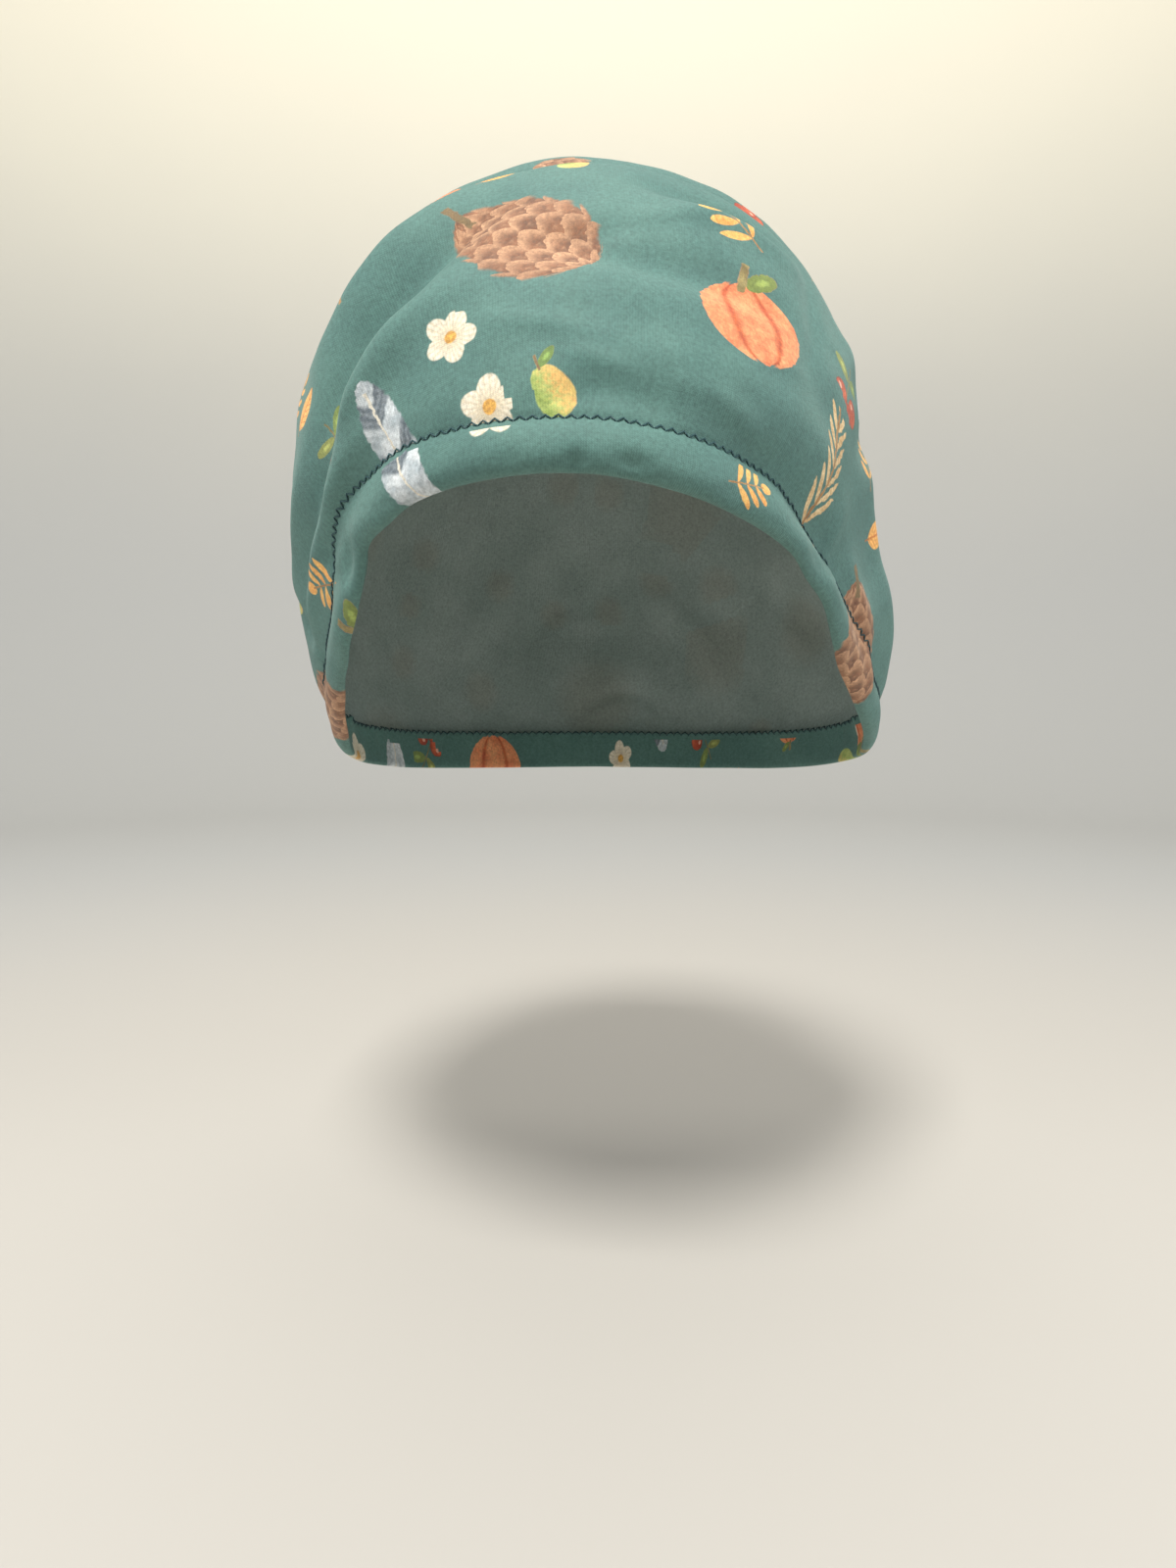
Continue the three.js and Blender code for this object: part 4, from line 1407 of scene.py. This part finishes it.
@dataclass(frozen=True)
class KnitFinish:
    """The knit: a soft brushed face that carries the print, or its pale unprinted back.

    Wale and course are the width and height of a loop in millimetres. The scales of the noises
    are waves for each millimetre.
    """

    name: str
    ground: Tones
    printed: bool
    wale: float = 0.62
    course: float = 0.5
    cloud_scale: float = 0.045
    speckle_scale: float = 1.15
    fuzz_scale: float = 0.42
    wobble_scale: float = 0.55
    wash_scale: float = 0.2
    grain_scale: float = 1.1
    roughness: float = 0.68
    specular: float = 0.32
    sheen: float = 0.14
    sheen_roughness: float = 0.45
    bump: float = 0.35
    bump_distance: float = 0.25 * MM

    def print_on(self, tree: ShaderTree, flat: Wire, ground: Wire) -> Wire:
        """Lay the print on the ground: each motif in turn on the face, a faint stain on the back.

        Args:
            tree: The material's tree.
            flat: Places on the flat cloth, in millimetres.
            ground: The ground's colour.

        Returns:
            The printed colour.
        """
        wobble = tree.noise(flat, self.wobble_scale)
        x, y, kind = tree.split(tree.attribute("motif_place", "Vector"))
        whole = tree.attribute("motif_alone", "Fac") > 0.999
        if not self.printed:
            stain = (x * x + y * y + wobble * 0.5).smooth(1.0, 0.3) * whole * 0.3
            return tree.mix(stain, ground, PRINT_STAIN)
        loose = (wobble - 0.5) * 0.06
        wash = tree.noise(flat, self.wash_scale, 3.0, 0.6).smooth(0.3, 0.7)
        grain = tree.noise(flat, self.grain_scale, 2.0, 0.7).smooth(0.25, 0.75)
        painter = MotifPainter(tree, x + loose, y - loose, wash, grain)
        colour = ground
        for motif in Motif:
            cover, painted = painter.paint(motif)
            mine = abs(kind - float(motif)) < 0.4
            colour = tree.mix(cover * mine * whole * (0.86 + grain * 0.14), colour, painted)
        return colour

    def material(self) -> bpy.types.Material:
        """Build the material.

        The ground mixes two tones by cloudy noise and carries the print. A fine speckle of
        fibres goes over all. The bump is the knit's rows of loops with the same speckle.

        Returns:
            The material.
        """
        tree = ShaderTree(self.name)
        flat = tree.scale(tree.node("ShaderNodeUVMap", {"uv_map": "cloth"}), 1 / MM)
        solid = tree.scale(tree.place(), 1 / MM)
        cloud = tree.noise(solid, self.cloud_scale, 2.0, 0.55)
        speckle = tree.noise(solid, self.speckle_scale, 2.0, 0.7)
        fuzz = tree.noise(solid, self.fuzz_scale, 1.0, 0.6)
        ground = tree.mix(cloud.smooth(0.3, 0.7), *self.ground)
        lift = (speckle - 0.5) * 0.95 + (fuzz - 0.5) * 0.16 + 1.0
        tree.feed("Base Color", tree.scale(self.print_on(tree, flat, ground), lift))
        tree.feed("Roughness", self.roughness + (speckle - 0.5) * 0.12)
        tree.feed("Specular IOR Level", self.specular)
        tree.feed("Sheen Weight", self.sheen)
        tree.feed("Sheen Roughness", self.sheen_roughness)
        tree.feed("Sheen Tint", SHEEN_TINT)

        u, v, _ = tree.split(flat)
        rib = (u * (math.pi / self.wale)).call("SINE")
        lean = abs((u / self.wale).call("FRACT") - 0.5)
        loop = ((v / self.course + lean * 1.4) * (2 * math.pi)).call("SINE")
        height = rib * rib * 0.5 + loop * 0.18 + speckle * 1.3 + fuzz * 0.5
        tree.bump(height, self.bump, self.bump_distance)
        return tree.material


@dataclass(frozen=True)
class ThreadFinish:
    """Dark sewing thread, its plies twisted round it."""

    name: str = "stitch_thread"
    tones: Tones = THREAD
    ply_length: float = 0.5 * MM
    blotch_scale: float = 900.0
    roughness: float = 0.42
    bump: float = 0.5
    bump_distance: float = 0.08 * MM

    def material(self) -> bpy.types.Material:
        """Build the material, its two tones mixed by slanting plies and a fine blotch.

        Returns:
            The material.
        """
        tree = ShaderTree(self.name)
        place = tree.place()
        x, y, z = tree.split(place)
        ply = ((x * 0.9 + y * 0.7 + z * 1.3) * (2 * math.pi / self.ply_length)).call("SINE")
        blotch = tree.noise(place, self.blotch_scale)
        tree.feed("Base Color", tree.mix((ply * 0.25 + blotch).call("MAXIMUM", 0.0), *self.tones))
        tree.feed("Roughness", self.roughness + blotch * 0.2)
        tree.bump(ply, self.bump, self.bump_distance)
        return tree.material


@dataclass(frozen=True)
class PlainFinish:
    """The pale, matt paint of the floor and wall."""

    name: str = "studio_paint"
    near: Colour = (0.48, 0.46, 0.425)
    far: Colour = (0.45, 0.455, 0.45)
    high: Colour = (0.78, 0.745, 0.63)
    mottle_scale: float = 3.0
    roughness: float = 0.8
    specular: float = 0.2

    def material(self) -> bpy.types.Material:
        """Build the material: warm near the middle, cooler further out, warm again up the wall.

        Returns:
            The material.
        """
        tree = ShaderTree(self.name)
        place = tree.place()
        x, y, z = tree.split(place)
        mottle = tree.noise(place, self.mottle_scale)
        out = (x * x + y * y).call("SQRT")
        floor = tree.mix((out + mottle * 0.1).smooth(0.25, 0.9), self.near, self.far)
        tree.feed("Base Color", tree.mix((z + mottle * 0.1).smooth(0.1, 1.15), floor, self.high))
        tree.feed("Roughness", self.roughness + mottle * 0.1)
        tree.feed("Specular IOR Level", self.specular)
        return tree.material


@dataclass
class Panel:
    """One panel of the cap, from the stitching up to the crown seam."""

    node: str
    half: Half
    repeat: Repeat
    rows: int
    columns: int = 280

    def build(self, outside: bpy.types.Material, inside: bpy.types.Material) -> bpy.types.Object:
        """Build the panel as one closed wall of cloth.

        Args:
            outside: The printed face.
            inside: The unprinted back.

        Returns:
            The new piece.
        """
        form = self.half.form
        u = dense_ends(self.columns)
        v = dense_ends(self.rows)
        points, normals = form.lay(self.half.panel_places(u, v))
        loops = np.concatenate([points, (points - form.cloth * normals)[::-1]])
        flat = self.half.flat(u, PATTERN_HEM_ROWS + v * PATTERN_PANEL_ROWS)
        under = np.arange(len(loops)) > self.rows
        under[-1] = False
        piece = closed_wall(self.node + "_cloth", loops, np.concatenate([flat, flat[::-1]]),
                            self.repeat, under, [outside, inside])
        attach(piece, "root")
        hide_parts(self.node)
        return piece


@dataclass
class Hem:
    """The turned hem of one half: the cloth goes down, rolls under and comes up inside.

    The tuck is how far behind the skin the hem's lowest line lies, and under_up is the height at
    which its inside face begins.
    """

    node: str
    half: Half
    repeat: Repeat
    columns: int = 280
    face_rows: int = 9
    roll_rows: int = 11
    under_up: float = 1.2 * MM
    tuck: float = 2.1 * MM

    def section(self) -> tuple[Array, Array, Array]:
        """Work out the section across the hem.

        From the stitching a parabola comes down to the hem's fullest level. A quarter ellipse
        leads on down to the lower edge and another up to the inside face, which is straight.

        Returns:
            Distances up the cloth from the edge, distances out from the skin, and the rows of
            the flat pattern, which go below 0 on the turned side.
        """
        form = self.half.form
        t = np.linspace(1, 0, self.face_rows, endpoint=False)
        face = form.hem_full_up + (form.hem_width - form.hem_full_up) * t
        turn = np.linspace(0, math.pi / 2, self.roll_rows)
        back = turn[-2::-1]
        rise = np.linspace(0, 1, self.face_rows + 2)[1:]
        up = np.concatenate([
            face,
            form.hem_full_up * (1 - np.sin(turn)),
            self.under_up * (1 - np.sin(back)),
            self.under_up + (form.hem_width - self.under_up) * rise,
        ])
        out = np.concatenate([
            form.swell(face),
            (form.hem_bulge + self.tuck) * np.cos(turn) - self.tuck,
            -self.tuck - (form.hem_thickness - self.tuck) * np.cos(back),
            np.full_like(rise, -form.hem_thickness),
        ])
        travel = np.concatenate([[0], np.cumsum(np.hypot(np.diff(up), np.diff(out)))])
        return up, out, (1 - travel / form.hem_width) * PATTERN_HEM_ROWS

    def build(self, outside: bpy.types.Material, inside: bpy.types.Material) -> bpy.types.Object:
        """Build the hem as one closed, rolled strip.

        Args:
            outside: The printed face, which shows on both sides of a turned hem.
            inside: The unprinted back.

        Returns:
            The new piece.
        """
        u = dense_ends(self.columns)
        up, out, row = self.section()
        points, normals = self.half.form.lay(self.half.hem_places(u, up))
        loops = points + normals * out[:, None, None]
        order = slice(None, None, -1)
        piece = closed_wall(self.node + "_cloth", loops[order], self.half.flat(u, row)[order],
                            self.repeat, np.zeros(len(up), bool), [outside, inside])
        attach(piece, "root")
        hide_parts(self.node)
        return piece


@dataclass
class ZigzagStitching:
    """The zigzag that holds a hem: thread strokes between needle holes above and below a line.

    The inner row lies on the hem's inside face. Crown is how high a stroke stands over the
    cloth, and a knot of thread fills each hole. The thread's section has an even number of sides.
    """

    name: str
    half: Half
    inner: bool = False
    period: float = 2.84 * MM
    swing: float = 0.6 * MM
    radius: float = 0.2 * MM
    crown: float = 0.3 * MM
    knot: float = 0.3 * MM
    margin: float = 0.004
    line_points: int = 900
    sides: int = 6
    steps: int = 7
    pinch: float = 0.02

    def needle_holes(self) -> Array:
        """Space the needle holes evenly along the stitching, in turn above and below it.

        Returns:
            Each hole's angle in degrees and its distance up from the edge.
        """
        form = self.half.form
        angle = self.half.angles(np.linspace(self.margin, 1 - self.margin, self.line_points))
        line = form.smooth_skin(form.above_edge(angle, form.hem_width))
        travel = np.concatenate([[0], np.cumsum(np.linalg.norm(np.diff(line, axis=0), axis=1))])
        count = int(travel[-1] / (self.period / 2))
        at = np.interp(np.linspace(0, travel[-1], count + 1), travel, angle)
        side = np.where(np.arange(count + 1) % 2, -self.swing, self.swing)
        return np.column_stack([at, form.hem_width + side])

    def tube(self, paths: Array, outs: Array, radius: float) -> tuple[Array, Array]:
        """Carry a round section along many short paths at once.

        The section's two directions at each point are the outward normal and its cross product
        with the path's heading. The radius shrinks almost to nothing at both ends, where quads
        close the tube.

        Args:
            paths: Points, a row for each stroke.
            outs: Outward normals there.
            radius: The thread's radius.

        Returns:
            Points and quads.
        """
        heading = unit(np.gradient(paths, axis=1))
        side = unit(np.cross(heading, outs))
        rise = np.cross(side, heading)
        turn = np.linspace(0, 2 * math.pi, self.sides, endpoint=False)
        t = np.linspace(-1, 1, self.steps)
        girth = radius * np.sqrt(np.clip(1 - t**6, self.pinch**2, 1))
        ring = side[:, :, None] * np.cos(turn)[:, None] + rise[:, :, None] * np.sin(turn)[:, None]
        points = paths[:, :, None] + ring * girth[:, None, None]
        index = np.arange(points[..., 0].size).reshape(points.shape[:3])
        around = np.roll(index, -1, axis=2)
        quads = np.stack([index[:, :-1], index[:, 1:], around[:, 1:], around[:, :-1]], axis=-1)
        corners = [[0, j, j + 1, j + 2] for j in range(1, self.sides - 2, 2)]
        starts = [index[:, 0][:, four] for four in corners]
        ends = [index[:, -1][:, four[::-1]] for four in corners]
        return points.reshape(-1, 3), np.concatenate([quads.reshape(-1, 4), *starts, *ends])

    def strokes(self, holes: Array) -> tuple[Array, Array]:
        """Sew a stroke from each hole to the next.

        It rises over the cloth as a root of a sine and dives in at its ends.

        Args:
            holes: Each hole's angle and its distance up from the edge.

        Returns:
            Points and quads.
        """
        form = self.half.form
        t = np.linspace(0, 1, self.steps)[None, :, None]
        route = holes[:-1, None] * (1 - t) + holes[1:, None] * t
        skin, outs = form.lay(form.above_edge(route[..., 0], route[..., 1]))
        lift = (self.crown + self.knot) * np.sqrt(np.sin(math.pi * t)) - self.knot
        face = form.swell(route[..., 1:])
        depth = -form.hem_thickness - lift if self.inner else face + lift
        return self.tube(skin + outs * depth, outs, self.radius)

    def knots(self, holes: Array) -> tuple[Array, Array]:
        """Fill each hole with a short level bead of thread.

        Args:
            holes: Each hole's angle and its distance up from the edge.

        Returns:
            Points and quads.
        """
        form = self.half.form
        skin, out = form.lay(form.above_edge(holes[:, 0], holes[:, 1]))
        face = form.swell(holes[:, 1:])
        sink = self.radius - form.hem_thickness if self.inner else face - self.radius
        turn = np.linspace(-1, 1, self.steps)[:, None]
        side = unit(np.cross(out, [0.0, 0.0, 1.0]))
        paths = (skin + out * sink)[:, None] + side[:, None] * (turn * self.knot)
        return self.tube(paths, np.repeat(out[:, None], self.steps, axis=1), self.knot)

    def build(self, material: bpy.types.Material) -> bpy.types.Object:
        """Build every stroke of the zigzag, with a knot of thread in each needle hole.

        Args:
            material: The thread's material.

        Returns:
            The new piece.
        """
        holes = self.needle_holes()
        strokes, quads = self.strokes(holes)
        knots, more = self.knots(holes)
        faces = np.concatenate([quads, more + len(strokes)])
        mesh = bpy.data.meshes.new(self.name)
        mesh.from_pydata(np.concatenate([strokes, knots]).tolist(), [], faces.tolist())
        mesh.materials.append(material)
        mesh.polygons.foreach_set("use_smooth", np.ones(len(faces), bool))
        mesh.update()
        piece = add_object(self.name, mesh)
        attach(piece, "root")
        return piece


@dataclass(frozen=True)
class Side:
    """The front or the back of the cap: its panel, its hem and the hem's two rows of stitching."""

    panel: str
    hem: str
    half: Half
    repeat: Repeat
    panel_rows: int

    def build(self, printed: bpy.types.Material, unprinted: bpy.types.Material,
              thread: bpy.types.Material) -> list[bpy.types.Object]:
        """Build the side's pieces and log the size of the cloth cut for it.

        Args:
            printed: The knit's face.
            unprinted: The knit's back.
            thread: The sewing thread.

        Returns:
            The new pieces.
        """
        panel = Panel(self.panel, self.half, self.repeat, self.panel_rows).build(printed, unprinted)
        hem = Hem(self.hem, self.half, self.repeat).build(printed, unprinted)
        outer = ZigzagStitching(f"{self.hem}_outer_stitching", self.half).build(thread)
        inner = ZigzagStitching(f"{self.hem}_inner_stitching", self.half, True).build(thread)
        width, length, area = self.half.cut()
        LOG.info("%s cut: %.3f by %.3f m, %.4f square metres", self.panel, width, length, area)
        return [panel, hem, outer, inner]


class Lamp(NamedTuple):
    """A square area light: where it hangs, its side in metres, its watts, and what it faces."""

    name: str
    place: Point
    size: float
    power: float
    colour: Colour
    aim: Point = (0.0, 0.0, 0.0)


LAMPS = (
    Lamp("key", (-0.12, -0.6, 1.05), 0.3, 19.5, (1.0, 0.975, 0.93)),
    Lamp("right_fill", (0.9, -0.35, 0.26), 0.5, 4.8, (0.96, 0.98, 1.0)),
    Lamp("left_fill", (-0.9, -0.35, 0.26), 0.5, 3.5, (0.96, 0.98, 1.0)),
    Lamp("wall_wash", (0.0, 0.5, 1.5), 1.2, 18.0, (1.0, 0.97, 0.9), (0.0, 1.7, 0.7)),
)


@dataclass
class Studio:
    """A plain pale floor that turns up into a wall all round, soft light and the camera.

    The wall is high behind the cap, up to high_from degrees from straight behind, and low
    beyond low_from degrees. Spokes and rings are the backdrop's grid.
    """

    floor_height: float = -212 * MM
    floor_radius: float = 1.1
    curve: float = 0.6
    low_reach: float = 1.35
    high_reach: float = 2.85
    high_from: float = 42.0
    low_from: float = 75.0
    spokes: int = 96
    rings: int = 61
    hub: float = 0.0005
    crowding: float = 1.3
    camera_back: float = 350 * MM
    camera_drop: float = 42 * MM
    camera_pitch: float = 5.5
    photo_long_side: float = 1600.0
    photo_focal: float = 1202.0
    sensor: float = 36.0
    nearest_seen: float = 0.01
    surroundings: tuple[float, float, float, float] = (1.0, 0.98, 0.94, 1.0)
    surroundings_strength: float = 0.3

    def backdrop(self) -> bpy.types.Object:
        """Build floor and wall as one sweep.

        From the middle each spoke runs along the floor, turns up through a quarter circle and
        goes straight up. The spokes behind the cap reach high, and those in front stop just
        after the floor begins to rise, with a smooth step between them.

        Returns:
            The backdrop.
        """
        around = np.linspace(0, 2 * math.pi, self.spokes + 1)[:-1]
        off = np.abs((np.degrees(around) + 90) % 360 - 180)
        step = np.clip((off - self.high_from) / (self.low_from - self.high_from), 0, 1)
        low = step * step * (3 - 2 * step)
        reach = self.high_reach + (self.low_reach - self.high_reach) * low
        travel = np.linspace(self.hub, 1, self.rings)[:, None] ** self.crowding * reach
        turn = np.clip((travel - self.floor_radius) / self.curve, 0, math.pi / 2)
        wall = np.maximum(travel - self.floor_radius - self.curve * math.pi / 2, 0)
        out = np.minimum(travel, self.floor_radius) + self.curve * np.sin(turn)
        up = self.curve * (1 - np.cos(turn)) + wall
        points = np.stack([out * np.cos(around), out * np.sin(around), self.floor_height + up], -1)
        index = np.arange(points[..., 0].size).reshape(points.shape[:2])
        after = np.roll(index, -1, axis=1)
        quads = np.stack([index[:-1], index[1:], after[1:], after[:-1]], axis=-1)
        faces = [*quads.reshape(-1, 4).tolist(), index[0].tolist()]
        mesh = bpy.data.meshes.new("backdrop")
        mesh.from_pydata(points.reshape(-1, 3).tolist(), [], faces)
        mesh.polygons.foreach_set("use_smooth", np.ones(len(mesh.polygons), bool))
        mesh.materials.append(PlainFinish().material())
        mesh.update()
        floor = add_object("backdrop", mesh)
        return floor

    def light(self, lamp: Lamp) -> None:
        """Hang one light, which doesn't itself show.

        Args:
            lamp: The light.
        """
        data = bpy.data.lights.new(lamp.name, "AREA")
        data.size = lamp.size
        data.energy = lamp.power
        data.color = lamp.colour
        made = add_object(lamp.name, data)
        made.location = lamp.place
        made.visible_camera = False
        facing = Vector(lamp.aim) - Vector(lamp.place)
        made.rotation_euler = facing.to_track_quat("-Z", "Y").to_euler()

    def camera(self) -> bpy.types.Object:
        """Place the camera at the photograph's viewing angle and distance.

        Returns:
            The camera.
        """
        lens = bpy.data.cameras.new("camera")
        lens.sensor_width = self.sensor
        lens.lens = self.sensor * self.photo_focal / self.photo_long_side
        lens.clip_start = self.nearest_seen
        made = add_object("camera", lens)
        made.location = (0.0, -self.camera_back, -self.camera_drop)
        made.rotation_euler = (math.radians(90 - self.camera_pitch), 0.0, 0.0)
        bpy.context.scene.camera = made
        return made

    def build(self) -> None:
        """Build the camera, backdrop, lights and surroundings."""
        self.camera()
        self.backdrop()
        for lamp in LAMPS:
            self.light(lamp)
        world = bpy.data.worlds.new("soft_surroundings")
        world.use_nodes = True
        background = world.node_tree.nodes["Background"]
        background.inputs["Color"].default_value = self.surroundings
        background.inputs["Strength"].default_value = self.surroundings_strength
        bpy.context.scene.world = world
        bpy.context.scene.view_settings.view_transform = "Standard"


def main() -> None:
    """Build the studio and then the cap, one side after the other."""
    logging.basicConfig(level=logging.INFO, format="%(name)s: %(message)s")
    Studio().build()
    form = CapForm()
    front = Half(form, -form.ear_angle, form.ear_angle, 1)
    rear = Half(form, form.ear_angle, 360 - form.ear_angle, -1)
    printed = KnitFinish("printed_knit", PRINTED_GROUND, True).material()
    unprinted = KnitFinish("unprinted_back", UNPRINTED_GROUND, False).material()
    thread = ThreadFinish().material()
    for side in (
        Side("front_panel", "brow_hem", front, Repeat(shift=(3 * MM, -12 * MM)), 120),
        Side("back_panel", "nape_hem", rear, Repeat(shift=(20 * MM, 30 * MM)), 160),
    ):
        for piece in side.build(printed, unprinted, thread):
            LOG.info("%s: %d faces", piece.name, len(piece.data.polygons))


if __name__ == "__main__":
    main()
